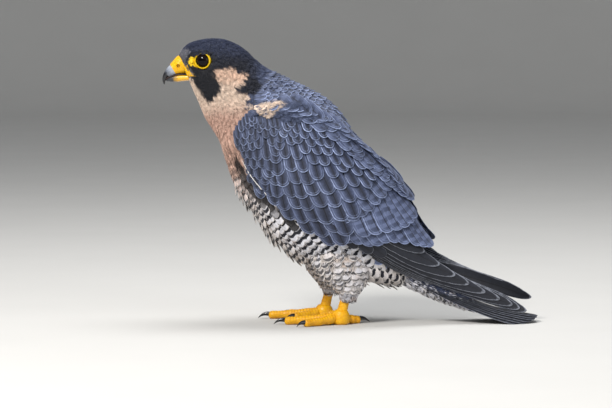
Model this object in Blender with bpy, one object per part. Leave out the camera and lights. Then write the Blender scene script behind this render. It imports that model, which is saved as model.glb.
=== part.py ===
"""Peregrine falcon, adult male, life size: a still model standing on level ground.

Units are metres, +Z is up and the bird faces -X, so its left side is at -Y.
The body, wings, tail and legs are laid out in the upright plane y = 0 and given width from there.
"""
import math
import random

import bmesh
import bpy
import numpy as np
from mathutils import Matrix, Vector

BIRD = "peregrine_falcon"
GAP = 0.0003                     # clearance between neighbouring pieces
UP_THE_WING = np.array([0.7, 0.0, 0.7])    # from the wing's lower edge towards its upper one
RING_POINTS = 24                 # points round the head, neck and torso

# Each station of the body is a flat ring: its top (x, z), its underside (x, z), half its width,
# and how far up the ring it is widest.
HEAD_STATIONS = [
    (-0.1374, 0.2455, -0.1270, 0.2222, 0.0088, 0.50),
    (-0.1338, 0.2509, -0.1255, 0.2180, 0.0125, 0.52),
    (-0.1282, 0.2559, -0.1240, 0.2146, 0.0160, 0.56),
    (-0.1209, 0.2587, -0.1225, 0.2108, 0.0190, 0.58),
    (-0.1126, 0.2603, -0.1200, 0.2058, 0.0208, 0.58),
    (-0.1034, 0.2607, -0.1175, 0.1998, 0.0217, 0.56),
    (-0.0942, 0.2596, -0.1149, 0.1934, 0.0225, 0.53),
    (-0.0850, 0.2559, -0.1117, 0.1865, 0.0240, 0.50),
    (-0.0758, 0.2499, -0.1075, 0.1805, 0.0262, 0.48),
]
NECK_STATIONS = [
    (-0.0685, 0.2430, -0.1036, 0.1740, 0.0292, 0.48),
    (-0.0590, 0.2350, -0.1000, 0.1682, 0.0335, 0.48),
    (-0.0475, 0.2286, -0.0972, 0.1610, 0.0385, 0.48),
]
TORSO_STATIONS = [
    (-0.0335, 0.2220, -0.0930, 0.1481, 0.0440, 0.48),
    (-0.0171, 0.2138, -0.0887, 0.1346, 0.0480, 0.48),
    (-0.0006, 0.2046, -0.0820, 0.1213, 0.0500, 0.50),
    (0.0130, 0.1900, -0.0725, 0.1078, 0.0505, 0.50),
    (0.0240, 0.1705, -0.0619, 0.0926, 0.0500, 0.50),
    (0.0330, 0.1500, -0.0473, 0.0745, 0.0480, 0.48),
    (0.0430, 0.1280, -0.0301, 0.0595, 0.0440, 0.46),
    (0.0520, 0.1070, -0.0117, 0.0520, 0.0390, 0.45),
    (0.0590, 0.0880, 0.0091, 0.0455, 0.0330, 0.45),
    (0.0640, 0.0725, 0.0305, 0.0400, 0.0265, 0.45),
    (0.0690, 0.0640, 0.0522, 0.0360, 0.0205, 0.45),
    (0.0763, 0.0560, 0.0676, 0.0342, 0.0155, 0.45),
]
BODY_STATIONS = HEAD_STATIONS + NECK_STATIONS + TORSO_STATIONS
NECK_START = len(HEAD_STATIONS)
TORSO_START = NECK_START + len(NECK_STATIONS)
BODY_END = len(BODY_STATIONS) - 1

# The brow overhangs the eye, and the cheek is full under it.
EYE = (-0.1135, 0.0137, 0.2412)
EYE_RADIUS = 0.0074
EYE_FORWARD = math.radians(16)
EYE_DOWN = math.radians(3)
EYE_OPENING = 0.0064
LID_RADIUS = 0.0088
LID_PROFILE = [                   # (radius, height over the eye's centre)
    (EYE_OPENING + 0.0001, 0.0043), (EYE_OPENING + 0.0002, 0.0052), (0.0078, 0.0049),
    (LID_RADIUS, 0.0036), (LID_RADIUS, 0.0012), (0.0080, 0.0012),
]
LID_SEGMENTS = 18
SOCKET_GAP = 0.0004
PIT_FLOOR = 0.0008                # the pit for the bare skin, as heights over the eye's centre
PIT_TOP = 0.0200
BROW_RISE = 0.0016
BROW_ABOVE_EYE = 0.0085
BROW_LENGTH = 0.0110
BROW_HEIGHT = 0.0035

# Bill, from the photograph's profile: the culmen runs from the forehead over to the hooked tip.
CERE_RINGS = [
    (-0.1350, 0.2448, -0.1262, 0.2287, 0.0092),
    (-0.1377, 0.2448, -0.1297, 0.2287, 0.0086),
    (-0.1412, 0.2410, -0.1345, 0.2285, 0.0079),
    (-0.1450, 0.2372, -0.1388, 0.2283, 0.0067),
]
BILL_RINGS = [
    (-0.1440, 0.2374, -0.1380, 0.2281, 0.0066),
    (-0.1479, 0.2336, -0.1420, 0.2266, 0.0055),
    (-0.1502, 0.2306, -0.1447, 0.2245, 0.0044),
    (-0.1519, 0.2261, -0.1466, 0.2245, 0.0032),
    (-0.1521, 0.2228, -0.1487, 0.2225, 0.0021),
    (-0.1511, 0.2190, -0.1496, 0.2190, 0.0008),
]
LOWER_BILL_RINGS = [
    (-0.1275, 0.2280, -0.1262, 0.2226, 0.0082),
    (-0.1303, 0.2280, -0.1290, 0.2224, 0.0078),
    (-0.1355, 0.2279, -0.1345, 0.2220, 0.0062),
    (-0.1400, 0.2268, -0.1398, 0.2214, 0.0047),
    (-0.1440, 0.2238, -0.1438, 0.2213, 0.0032),
    (-0.1465, 0.2229, -0.1464, 0.2219, 0.0018),
]
NOSTRIL = (-0.1372, 0.2359)
NOSTRIL_RADIUS = 0.0015
NOSTRIL_DEPTH = 0.0020
DRILL_LENGTH = 0.0200
NOSTRIL_HALF_WIDTH = 0.0080       # half the cere's width where the nostrils open
MOUTH_FRONT = (-0.1330, 0.0080, 0.2282)
GAPE_CORNER = (-0.1212, 0.0152, 0.2270)
MOUTH_SLOT = 0.0009
MOUTH_SLOT_WIDTH = 0.0085
MOUTH_SLOT_OUT = 0.0035           # from the line of the mouth out to the slot's middle

# The folded wing is a sheet over the bird's side. Its lower edge, its middle and its upper edge
# are curves of (x, distance from the middle plane, z), from the wrist to the wing tip.
WING_LOWER = [
    (-0.0817, 0.0340, 0.1610), (-0.0657, 0.0440, 0.1356), (-0.0353, 0.0500, 0.1051),
    (0.0018, 0.0490, 0.0824), (0.0384, 0.0410, 0.0596), (0.0771, 0.0290, 0.0415),
    (0.1252, 0.0225, 0.0305), (0.1656, 0.0185, 0.0195), (0.1860, 0.0165, 0.0150),
]
WING_MIDDLE = [
    (-0.0845, 0.0420, 0.1822), (-0.0519, 0.0540, 0.1683), (-0.0145, 0.0580, 0.1420),
    (0.0246, 0.0540, 0.1168), (0.0558, 0.0440, 0.0871), (0.0882, 0.0310, 0.0610),
    (0.1300, 0.0215, 0.0395), (0.1690, 0.0170, 0.0225), (0.1880, 0.0150, 0.0165),
]
WING_UPPER = [
    (-0.0660, 0.0480, 0.2003), (-0.0326, 0.0495, 0.2013), (0.0073, 0.0360, 0.1882),
    (0.0512, 0.0140, 0.1514), (0.0745, 0.0110, 0.1169), (0.0990, 0.0105, 0.0800),
    (0.1356, 0.0125, 0.0540), (0.1760, 0.0125, 0.0265), (0.1900, 0.0125, 0.0190),
]
FAR_WING_RISE = math.radians(2.2)    # the right wing's tip lies a little higher than the left one's

# Feathers of the folded wing, row by row from the deepest to the outermost. A row's feathers are
# spread evenly between its first and its last: each has its root and its tip as (u, v) on the
# wing's sheet, and lift is the height over the sheet at its root and at its tip.
VANE_THICKNESS = 0.0006
WING_CORE_ROWS = (0.0, 0.25, 0.6, 1.1, 1.6, 2.1, 2.6, 3.1, 3.6)
WING_CORE_COLUMNS = 6
WING_CORE_SINK = 0.0010           # how far the core lies under the sheet
WRIST_SINK = (0.55, 0.0080)       # deeper still over this many stations, by up to this much
CORE_THINS_FROM = 1.3             # the station from which the core sinks and thins
CORE_FALL = 0.0100
CORE_THICKNESS = (0.0020, 0.0160) # at its end and at the wrist
WING_ROWS = [
    dict(name="primaries", count=8, shape="long", roll=4, width=(0.0190, 0.0150),
         root=((2.10, 0.38), (1.40, 0.10)), tip=((4.95, 0.64), (7.84, 0.16)), bow=0.12,
         lift=((-0.0034, -0.0034), (-0.0086, -0.0090))),
    dict(name="primary_coverts", count=2, shape="long", roll=3, width=(0.0110, 0.0110),
         root=((1.50, 0.12), (1.60, 0.22)), tip=((3.25, 0.03), (4.10, 0.15)), bow=0.0,
         lift=((-0.0040, -0.0030), (-0.0034, -0.0022))),
    dict(name="secondaries", count=6, shape="round", roll=7, width=(0.0160, 0.0165),
         root=((1.50, 0.30), (2.30, 0.88)), tip=((3.60, 0.15), (5.00, 0.80)), bow=0.0,
         lift=((-0.0028, -0.0022), (-0.0022, -0.0004))),
    dict(name="tertials", count=4, shape="round", roll=5, width=(0.0175, 0.0180),
         root=((1.90, 0.50), (2.60, 0.93)), tip=((3.55, 0.28), (4.60, 0.92)), bow=0.04,
         lift=((-0.0020, -0.0004), (-0.0012, 0.0012))),
    dict(name="alula", count=1, shape="long", roll=2, width=(0.0110, 0.0110),
         root=((1.30, 0.08), (1.30, 0.08)), tip=((2.84, 0.00), (2.84, 0.00)), bow=0.0,
         lift=((-0.0030, -0.0008), (-0.0030, -0.0008))),
    dict(name="greater_coverts", count=6, shape="round", roll=6, width=(0.0170, 0.0180),
         root=((1.35, 0.20), (2.30, 0.80)), tip=((2.42, 0.07), (3.45, 0.70)), bow=0.0,
         lift=((-0.0020, -0.0004), (-0.0010, 0.0012))),
    dict(name="median_coverts", count=5, shape="round", roll=6, width=(0.0185, 0.0190),
         root=((0.95, 0.28), (2.05, 0.86)), tip=((1.76, 0.14), (2.92, 0.78)), bow=0.0,
         lift=((-0.0014, 0.0006), (-0.0006, 0.0018))),
    dict(name="lesser_coverts", count=5, shape="round", roll=6, width=(0.0180, 0.0185),
         root=((0.65, 0.28), (1.60, 0.86)), tip=((1.28, 0.12), (2.26, 0.78)), bow=0.0,
         lift=((-0.0014, 0.0010), (-0.0006, 0.0022))),
    dict(name="wrist_coverts", count=4, shape="round", roll=6, width=(0.0180, 0.0180),
         root=((0.35, 0.32), (1.10, 0.88)), tip=((0.90, 0.18), (1.66, 0.80)), bow=0.0,
         lift=((-0.0014, 0.0012), (-0.0006, 0.0026))),
    dict(name="long_scapulars", count=4, shape="round", roll=4, width=(0.0180, 0.0180),
         root=((0.50, 0.93), (2.60, 0.97)), tip=((1.50, 0.90), (3.90, 0.96)), bow=0.0,
         lift=((-0.0006, 0.0028), (-0.0006, 0.0022))),
]
# Width along a feather, as (share of its length from the root, share of its full width).
VANE_SHAPES = {
    "long": ((0.0, 0.40), (0.30, 0.85), (0.60, 1.0), (0.86, 0.82), (1.0, 0.12)),
    "round": ((0.0, 0.45), (0.50, 0.95), (0.80, 0.95), (0.93, 0.68), (1.0, 0.22)),
    "tail": ((0.0, 0.40), (0.35, 0.85), (0.70, 1.0), (0.93, 0.82), (1.0, 0.30)),
}
TIP_THINNING = 0.7                # a feather's thickness at its tip, as a share of the rest
VARIATION = 0.025                 # random change of a feather's length and width
SEED = 7

# The tail's middle line, (x, z) from the rump to the tip of the middle feathers, and its arch.
TAIL_LINE = [
    (0.0640, 0.0500), (0.0900, 0.0395), (0.1200, 0.0262),
    (0.1500, 0.0150), (0.1750, 0.0092), (0.1930, 0.0064),
]
TAIL_ARCH = 0.0030                # drop at 20 mm from the middle line
TAIL_FEATHERS = 6                 # on each side
TAIL_FEATHER_WIDTH = 0.0175
TAIL_FEATHER_PITCH = 0.00095      # height between one tail feather and the next
TAIL_ROOT_ASIDE = 0.0020          # from the middle plane to the first feather's root
TAIL_ROOT_SPREAD = 0.0012         # sideways step between neighbouring roots
TAIL_TIP_ASIDE = 0.0040
TAIL_TIP_SPREAD = 0.0033          # sideways step between neighbouring tips
TAIL_STEP = 0.034                 # the outer feathers are shorter by this times their number squared
TAIL_ROOT_RINGS = [               # the coverts' body, as rings like the body's stations
    (0.0725, 0.0585, 0.0640, 0.0365, 0.0140, 0.45),
    (0.0900, 0.0478, 0.0820, 0.0285, 0.0158, 0.45),
    (0.1040, 0.0395, 0.0980, 0.0230, 0.0145, 0.45),
    (0.1180, 0.0310, 0.1140, 0.0190, 0.0115, 0.45),
    (0.1270, 0.0262, 0.1250, 0.0190, 0.0080, 0.45),
]

# Legs: level rings (x, distance from the middle plane, z, half length, half width). The foot's
# rings are (z, radius).
THIGH_RINGS = [
    (0.0040, 0.0210, 0.0780, 0.0215, 0.0115), (0.0080, 0.0232, 0.0640, 0.0245, 0.0150),
    (0.0120, 0.0240, 0.0520, 0.0240, 0.0152), (0.0155, 0.0245, 0.0420, 0.0205, 0.0132),
    (0.0180, 0.0250, 0.0345, 0.0140, 0.0104), (0.0185, 0.0250, 0.0290, 0.0086, 0.0078),
]
FAR_LEG_FORWARD = 0.0150          # the right foot stands this much further forward
TARSUS_RADIUS = 0.0044
FOOT_CENTRE = (0.0115, 0.0250)
FOOT_TOP = 0.0137
FOOT_RINGS = [(0.0, 0.0062), (0.0018, 0.0080), (0.0080, 0.0082), (FOOT_TOP, 0.0054)]
# Each toe: its name, its heading off straight ahead (+ is outwards), length, radius, claw length.
TOES = [
    ("inner", math.radians(-30), 0.0300, 0.0046, 0.0140),
    ("middle", math.radians(2), 0.0490, 0.0045, 0.0145),
    ("outer", math.radians(34), 0.0380, 0.0042, 0.0125),
    ("hind", math.radians(-148), 0.0180, 0.0045, 0.0160),
]
TOE_POINTS = 8
TOE_RINGS = 9
TOE_PADS = 3
PAD_SWELL = 0.10                  # how far a pad stands out, as a share of the toe's radius
TOE_TAPER = 0.20
KNUCKLE_RISE = 0.0030             # height of the toes' roots over the ground
LOWEST = 0.0004                   # what lies lower than this rests on the ground
CLAW_POINTS = 6
CLAW_STEPS = 5
CLAW_TAPER = 0.93
CLAW_RADIUS = 0.0026
CLAW_RISE = math.radians(25)      # a claw's root points this far up
CLAW_DROOP = math.radians(90)     # how far a claw turns down from its root to its point

SLATE = (0.10, 0.13, 0.19)
DARK_SLATE = (0.03, 0.035, 0.05)
CREAM = (0.75, 0.62, 0.52)
BARRED_GREY = (0.55, 0.53, 0.52)
YELLOW = (0.85, 0.50, 0.02)
HORN = (0.06, 0.07, 0.09)
EYE_BROWN = (0.02, 0.01, 0.008)


def catmull_rom(points, t):
    """Point at parameter t (0 at the first point, 1 at the second, and so on) of a smooth curve."""
    last = len(points) - 1
    t = min(max(t, 0.0), float(last))
    i = min(int(t), last - 1)
    f = t - i
    b, c = points[i], points[i + 1]
    a = points[i - 1] if i > 0 else 2 * b - c
    d = points[i + 2] if i + 2 <= last else 2 * c - b
    return 0.5 * (2 * b + (c - a) * f + (2 * a - 5 * b + 4 * c - d) * f ** 2
                  + (3 * b - a - 3 * c + d) * f ** 3)


def power(value, exponent):
    """A value's size raised to an exponent, with its sign kept."""
    return math.copysign(abs(value) ** exponent, value)


def ring_points(station, count=RING_POINTS, squareness=0.95):
    """A flat ring through a station's top and underside, widest at its belt."""
    top_x, top_z, low_x, low_z, half_width, belt = station
    top = np.array([top_x, 0.0, top_z])
    low = np.array([low_x, 0.0, low_z])
    centre = low + (top - low) * belt
    points = []
    for i in range(count):
        angle = 2 * math.pi * i / count
        rise = power(math.cos(angle), squareness)
        side = power(math.sin(angle), squareness) * half_width
        reach = (top - centre) * rise if rise > 0 else (centre - low) * rise
        points.append(centre + reach + np.array([0.0, side, 0.0]))
    return points


def brow_rise(point):
    """How far the brow pushes the head's side out at a point."""
    along = (point[0] - EYE[0] + 0.002) / BROW_LENGTH
    above = (point[2] - EYE[2] - BROW_ABOVE_EYE + 0.2 * (point[0] - EYE[0])) / BROW_HEIGHT
    return BROW_RISE * math.exp(-along ** 2 - above ** 2)


def body_ring(t, count=RING_POINTS):
    """The ring of the body at station parameter t, with the brows on it."""
    stations = [np.array(s) for s in BODY_STATIONS]
    points = ring_points(catmull_rom(stations, t), count)
    for point in points:
        if t < NECK_START:
            point[1] += math.copysign(brow_rise(point), point[1]) if abs(point[1]) > 0.002 else 0.0
    return points


def collection(name):
    """The named collection, made the first time that it is asked for."""
    if name not in bpy.data.collections:
        bpy.context.scene.collection.children.link(bpy.data.collections.new(name))
    return bpy.data.collections[name]


def add_mesh(name, points, faces, where=BIRD, smooth=True):
    """A mesh object of the given points and faces, with its faces turned outwards."""
    mesh = bpy.data.meshes.new(name)
    mesh.from_pydata([tuple(p) for p in points], [], faces)
    bm = bmesh.new()
    bm.from_mesh(mesh)
    bmesh.ops.recalc_face_normals(bm, faces=bm.faces)
    bm.to_mesh(mesh)
    bm.free()
    thing = bpy.data.objects.new(name, mesh)
    collection(where).objects.link(thing)
    if smooth:
        mesh.shade_smooth()
        mesh.set_sharp_from_angle(angle=math.radians(40))
    return thing


def loft(name, rings, where=BIRD):
    """A closed solid through rings of equal point counts, its ends closed by fans."""
    count = len(rings[0])
    points = [p for ring in rings for p in ring]
    faces = []
    for j in range(len(rings) - 1):
        for i in range(count):
            a, b = j * count + i, j * count + (i + 1) % count
            c, d = b + count, a + count
            faces += [(a, b, c), (a, c, d)]
    for start in (0, (len(rings) - 1) * count):
        middle = len(points)
        points.append(sum(points[start:start + count]) / count)
        faces += [(middle, start + i, start + (i + 1) % count) for i in range(count)]
    return add_mesh(name, points, faces, where)


def slab(name, outer, inner, where=BIRD):
    """A closed thin solid between two grids of points, split into triangles alike on both faces."""
    rows, columns = len(outer), len(outer[0])
    points = [p for row in outer for p in row] + [p for row in inner for p in row]
    back = rows * columns
    faces = []
    for j in range(rows - 1):
        for i in range(columns - 1):
            a, b = j * columns + i, j * columns + i + 1
            c, d = b + columns, a + columns
            faces += [(a, b, c), (a, c, d)]
            faces += [(back + c, back + b, back + a), (back + d, back + c, back + a)]
    rim = list(range(columns))
    rim += [j * columns + columns - 1 for j in range(1, rows)]
    rim += [(rows - 1) * columns + i for i in range(columns - 2, -1, -1)]
    rim += [j * columns for j in range(rows - 2, 0, -1)]
    for a, b in zip(rim, rim[1:] + rim[:1]):
        faces += [(b, a, back + a), (b, back + a, back + b)]
    return add_mesh(name, points, faces, where)


def push_ring(ring, distance, towards):
    """A ring moved along its own plane's normal, on the side of the given direction."""
    normal = np.cross(ring[0] - ring[len(ring) // 2], np.array([0.0, 1.0, 0.0]))
    normal /= np.linalg.norm(normal)
    if np.dot(normal, towards) < 0:
        normal = -normal
    return [p + normal * distance for p in ring]


def body_piece(name, first, last, steps, where=BIRD, start_gap=0.0):
    """A length of the body between two stations, steps rings to each station."""
    count = max(2, int(round((last - first) * steps)) + 1)
    rings = [body_ring(first + (last - first) * k / (count - 1)) for k in range(count)]
    if start_gap:
        ahead = rings[1][0] - rings[0][0] + rings[1][RING_POINTS // 2] - rings[0][RING_POINTS // 2]
        rings[0] = push_ring(rings[0], start_gap, ahead)
    return loft(name, rings, where)


def grow(thing, distance):
    """Moves a mesh's surface outwards by an even distance."""
    bm = bmesh.new()
    bm.from_mesh(thing.data)
    moves = [vertex.normal * distance * min(vertex.calc_shell_factor(), 2.0) for vertex in bm.verts]
    for vertex, move in zip(bm.verts, moves):
        vertex.co += move
    bm.to_mesh(thing.data)
    bm.free()


def apply_modifiers(thing):
    """Makes the evaluated mesh the object's own."""
    graph = bpy.context.evaluated_depsgraph_get()
    mesh = bpy.data.meshes.new_from_object(thing.evaluated_get(graph))
    thing.modifiers.clear()
    thing.data = mesh


def boolean(thing, other, operation, solver="EXACT"):
    """Joins or cuts a mesh object by another object or by a whole collection."""
    modifier = thing.modifiers.new(operation.lower(), "BOOLEAN")
    modifier.operation = operation
    modifier.solver = solver
    if isinstance(other, bpy.types.Collection):
        modifier.operand_type = "COLLECTION"
        modifier.collection = other
    else:
        modifier.object = other
    apply_modifiers(thing)


def keep_largest(thing):
    """Drops all but the largest closed surface of a mesh."""
    bm = bmesh.new()
    bm.from_mesh(thing.data)
    bmesh.ops.triangulate(bm, faces=bm.faces)
    unseen = set(bm.faces)
    shells = []
    while unseen:
        stack = [unseen.pop()]
        shell = list(stack)
        while stack:
            for edge in stack.pop().edges:
                for face in edge.link_faces:
                    if face in unseen:
                        unseen.remove(face)
                        stack.append(face)
                        shell.append(face)
        shells.append(shell)
    shells.sort(key=lambda shell: sum(face.calc_area() for face in shell))
    extra = [face for shell in shells[:-1] for face in shell]
    bmesh.ops.delete(bm, geom=extra, context="FACES")
    bmesh.ops.remove_doubles(bm, verts=bm.verts, dist=0.000002)
    bmesh.ops.dissolve_degenerate(bm, edges=bm.edges, dist=0.000002)
    bmesh.ops.recalc_face_normals(bm, faces=bm.faces)
    bm.to_mesh(thing.data)
    bm.free()


def remove(thing):
    """Takes an object out of the file."""
    bpy.data.objects.remove(thing)


def colour(thing, name, rgb, roughness):
    """Gives an object its own Principled material."""
    material = bpy.data.materials.new(name)
    material.use_nodes = True
    shader = material.node_tree.nodes["Principled BSDF"]
    shader.inputs["Base Color"].default_value = (*rgb, 1.0)
    shader.inputs["Roughness"].default_value = roughness
    shader.inputs["Metallic"].default_value = 0.0
    thing.data.materials.clear()
    thing.data.materials.append(material)


def wing_point(u, v, side):
    """Point of the folded wing's sheet: u counts stations from the wrist, v runs from 0 at the
    lower edge to 1 at the upper one. side is -1 for the left wing and 1 for the right."""
    low, mid, high = (catmull_rom([np.array(p) for p in curve], u)
                      for curve in (WING_LOWER, WING_MIDDLE, WING_UPPER))
    x, out, z = low * (1 - v) * (1 - 2 * v) + mid * 4 * v * (1 - v) + high * v * (2 * v - 1)
    if side > 0:
        blend = min(max((u - 3.0) / 4.0, 0.0), 1.0)
        turn = FAR_WING_RISE * blend * blend * (3 - 2 * blend)
        dx, dz = x - WING_MIDDLE[0][0], z - WING_MIDDLE[0][2]
        x += -dz * math.sin(turn) + dx * (math.cos(turn) - 1)
        z += dx * math.sin(turn) + dz * (math.cos(turn) - 1)
    return np.array([x, side * out, z])


def wing_normal(u, v, side):
    """The sheet's normal, pointing away from the bird."""
    step = 0.02
    along = wing_point(min(u + step, 8.0), v, side) - wing_point(max(u - step, 0.0), v, side)
    across = wing_point(u, v + step, side) - wing_point(u, v - step, side)
    normal = np.cross(along, across)
    normal /= np.linalg.norm(normal)
    return normal if normal[1] * side > 0 else -normal


def between(pair, share):
    """A value, or a tuple of them, a share of the way from the first of a pair to the second."""
    first, second = np.array(pair[0], dtype=float), np.array(pair[1], dtype=float)
    return first + (second - first) * share


def vane(name, path, surface, width, shape, roll, where):
    """One feather as a thin tapered blade. path gives (place on the surface, lift) at a share of
    its length, and surface gives the point and the outward normal at a place. Its lower edge is
    rolled outwards, so that it lies over the next feather below it."""
    outer, inner = [], []
    turn = math.radians(roll)
    for t, share in VANE_SHAPES[shape]:
        place, lift = path(t)
        point, normal = surface(place)
        ahead = surface(path(min(t + 0.02, 1.0))[0])[0] - surface(path(max(t - 0.02, 0.0))[0])[0]
        ahead /= np.linalg.norm(ahead)
        across = np.cross(normal, ahead)
        across /= np.linalg.norm(across)
        if np.dot(across, UP_THE_WING) < 0:
            across = -across
        centre = point + normal * lift
        half = across * math.cos(turn) - normal * math.sin(turn)
        face = normal * math.cos(turn) + across * math.sin(turn)
        edges = [centre - half * width * share / 2, centre + half * width * share / 2]
        thickness = VANE_THICKNESS * (TIP_THINNING if t == 1.0 else 1.0)
        outer.append([edge + face * thickness / 2 for edge in edges])
        inner.append([edge - face * thickness / 2 for edge in edges])
    return slab(name, outer, inner, where)


def wing_core(name, side):
    """The wing's flesh and inner layers, which all its feathers grow from."""
    top, bottom = [], []
    wrist_length, wrist_sink = WRIST_SINK
    row = [k / WING_CORE_COLUMNS for k in range(WING_CORE_COLUMNS + 1)]
    for u in WING_CORE_ROWS:
        front = max(0.0, 1 - u / wrist_length) ** 2 * wrist_sink
        fall = max(0.0, u - CORE_THINS_FROM) / (WING_CORE_ROWS[-1] - CORE_THINS_FROM)
        sink = WING_CORE_SINK + front + CORE_FALL * fall ** 1.2
        depth = sink + CORE_THICKNESS[1] + (CORE_THICKNESS[0] - CORE_THICKNESS[1]) * fall
        top.append([wing_point(u, v, side) - wing_normal(u, v, side) * sink for v in row])
        bottom.append([wing_point(u, v, side) - wing_normal(u, v, side) * depth for v in row])
    return slab(name, top, bottom)


def make_wing(side, cutter):
    """One folded wing: its rows of feathers, fused to the core and cut to lie on the body."""
    name = side_name(side)
    wing = wing_core("wing_" + name, side)
    pieces = collection("feathers_" + name)
    draw = random.Random(SEED)

    def surface(place):
        return wing_point(place[0], place[1], side), wing_normal(place[0], place[1], side)

    for row in WING_ROWS:
        for k in range(row["count"]):
            share = k / max(row["count"] - 1, 1)
            root, tip = between(row["root"], share), between(row["tip"], share)
            lift = between(row["lift"], share)
            stretch = 1 + draw.uniform(-VARIATION, VARIATION)
            width = between(row["width"], share) * (1 + draw.uniform(-VARIATION, VARIATION))
            bow = row["bow"]

            def path(t):
                place = root + (tip - root) * t * stretch
                place[1] -= bow * 4 * t * (1 - t) * 0.5
                return place, lift[0] + (lift[1] - lift[0]) * t

            vane(f"{row['name']}_{k}", path, surface, width, row["shape"], row["roll"], pieces.name)
    join_all(wing, pieces)
    boolean(wing, cutter, "DIFFERENCE")
    keep_largest(wing)
    colour(wing, wing.name, SLATE, 0.7)


def side_name(side):
    """The side's name: -1 is the left one."""
    return "left" if side < 0 else "right"


def bill_loft(name, rings, squareness=0.85):
    """A length of the bill through rings of top, underside and half width."""
    return loft(name, [ring_points((*ring, 0.45), 16, squareness) for ring in rings])


def eye_frame(side):
    """Turns +Z into the direction in which the eye looks, and moves the origin to its centre."""
    out = Vector((-math.sin(EYE_FORWARD), side * math.cos(EYE_FORWARD), -math.sin(EYE_DOWN))).normalized()
    turn = Vector((0, 0, 1)).rotation_difference(out).to_matrix().to_4x4()
    return Matrix.Translation((EYE[0], side * EYE[1], EYE[2])) @ turn


def lathe(name, profile, segments, frame, where=BIRD):
    """A closed ring or a capped solid turned about the frame's Z axis from (radius, height) points."""
    hollow = min(radius for radius, _ in profile) > 0
    points, faces = [], []
    for i in range(segments):
        angle = 2 * math.pi * i / segments
        for radius, height in profile:
            points.append(frame @ Vector((radius * math.cos(angle), radius * math.sin(angle), height)))
    rows = len(profile)
    spans = rows if hollow else rows - 1
    for i in range(segments):
        for j in range(spans):
            a, b = i * rows + j, i * rows + (j + 1) % rows
            c, d = (i + 1) % segments * rows + (j + 1) % rows, (i + 1) % segments * rows + j
            faces += [(a, b, c), (a, c, d)]
    thing = add_mesh(name, points, faces, where)
    bm = bmesh.new()
    bm.from_mesh(thing.data)
    bmesh.ops.remove_doubles(bm, verts=bm.verts, dist=0.00001)
    bmesh.ops.dissolve_degenerate(bm, edges=bm.edges, dist=0.00001)
    bmesh.ops.recalc_face_normals(bm, faces=bm.faces)
    bm.to_mesh(thing.data)
    bm.free()
    return thing


def ball(name, radius, frame, segments=16, rings=9, where=BIRD):
    """A sphere at a frame's origin."""
    bpy.ops.mesh.primitive_uv_sphere_add(segments=segments, ring_count=rings, radius=radius)
    thing = bpy.context.object
    thing.name = name
    thing.matrix_world = frame
    for holder in list(thing.users_collection):
        holder.objects.unlink(thing)
    collection(where).objects.link(thing)
    thing.data.shade_smooth()
    return thing


def make_eye(side, head):
    """Eye, its ring of bare skin, and the socket for both in the head."""
    frame = eye_frame(side)
    name = side_name(side)
    eye = ball("eye_" + name, EYE_RADIUS, frame)
    colour(eye, "eye_" + name, EYE_BROWN, 0.05)
    lid = lathe("eyelids_" + name, LID_PROFILE, LID_SEGMENTS, frame)
    colour(lid, "eyelids_" + name, YELLOW, 0.5)
    socket = ball("socket_" + name, EYE_RADIUS + SOCKET_GAP, frame, LID_SEGMENTS, 11, "cutters")
    pit = LID_RADIUS + GAP
    profile = [(0.0, PIT_FLOOR), (pit, PIT_FLOOR), (pit, PIT_TOP), (0.0, PIT_TOP)]
    mouth = lathe("socket_mouth_" + name, profile, LID_SEGMENTS, frame, "cutters")
    for cutter in (socket, mouth):
        boolean(head, cutter, "DIFFERENCE")
        remove(cutter)


def make_mouth_slot(side, head):
    """The line of the mouth, cut back into the head as far as the gape's corner."""
    front = Vector((MOUTH_FRONT[0], side * MOUTH_FRONT[1], MOUTH_FRONT[2]))
    back = Vector((GAPE_CORNER[0], side * GAPE_CORNER[1], GAPE_CORNER[2]))
    along = (back - front).normalized()
    across = Vector((0, 0, 1)).cross(along).normalized()
    if across.y * side < 0:
        across = -across
    bpy.ops.mesh.primitive_cube_add(size=1)
    slot = bpy.context.object
    up = along.cross(across)
    turn = Matrix((along, across, up)).transposed().to_4x4()
    centre = (front + back) / 2 + across * MOUTH_SLOT_OUT
    slot.matrix_world = (Matrix.Translation(centre) @ turn
                         @ Matrix.Diagonal(((back - front).length, MOUTH_SLOT_WIDTH, MOUTH_SLOT, 1)))
    boolean(head, slot, "DIFFERENCE")
    remove(slot)


def make_bill():
    """The cere with its nostrils, and the two halves of the bill, each cut clear of the last."""
    face = body_piece("face_cutter", 0, 4, 2, "cutters")
    cere = bill_loft("cere", CERE_RINGS)
    for side in (-1, 1):
        bpy.ops.mesh.primitive_cylinder_add(vertices=12, radius=NOSTRIL_RADIUS, depth=DRILL_LENGTH)
        drill = bpy.context.object
        out = side * (DRILL_LENGTH / 2 + NOSTRIL_HALF_WIDTH - NOSTRIL_DEPTH)
        drill.matrix_world = (Matrix.Translation((NOSTRIL[0], out, NOSTRIL[1]))
                              @ Matrix.Rotation(math.radians(90), 4, "X"))
        boolean(cere, drill, "DIFFERENCE")
        remove(drill)
    cut_clear(cere, face)
    colour(cere, "cere", YELLOW, 0.45)
    upper = bill_loft("bill_upper", BILL_RINGS)
    cut_clear(upper, cere)
    colour(upper, "bill_upper", HORN, 0.3)
    lower = bill_loft("bill_lower", LOWER_BILL_RINGS)
    for neighbour in (face, cere, upper):
        cut_clear(lower, neighbour)
    remove(face)
    colour(lower, "bill_lower", YELLOW, 0.35)


def level_ring(x, y, z, half_length, half_width, count):
    """An ellipse of points at one height."""
    return [np.array([x + half_length * math.cos(2 * math.pi * i / count),
                      y + half_width * math.sin(2 * math.pi * i / count), z]) for i in range(count)]


def forward(side):
    """The right leg stands further forward than the left."""
    return FAR_LEG_FORWARD if side > 0 else 0.0


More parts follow.
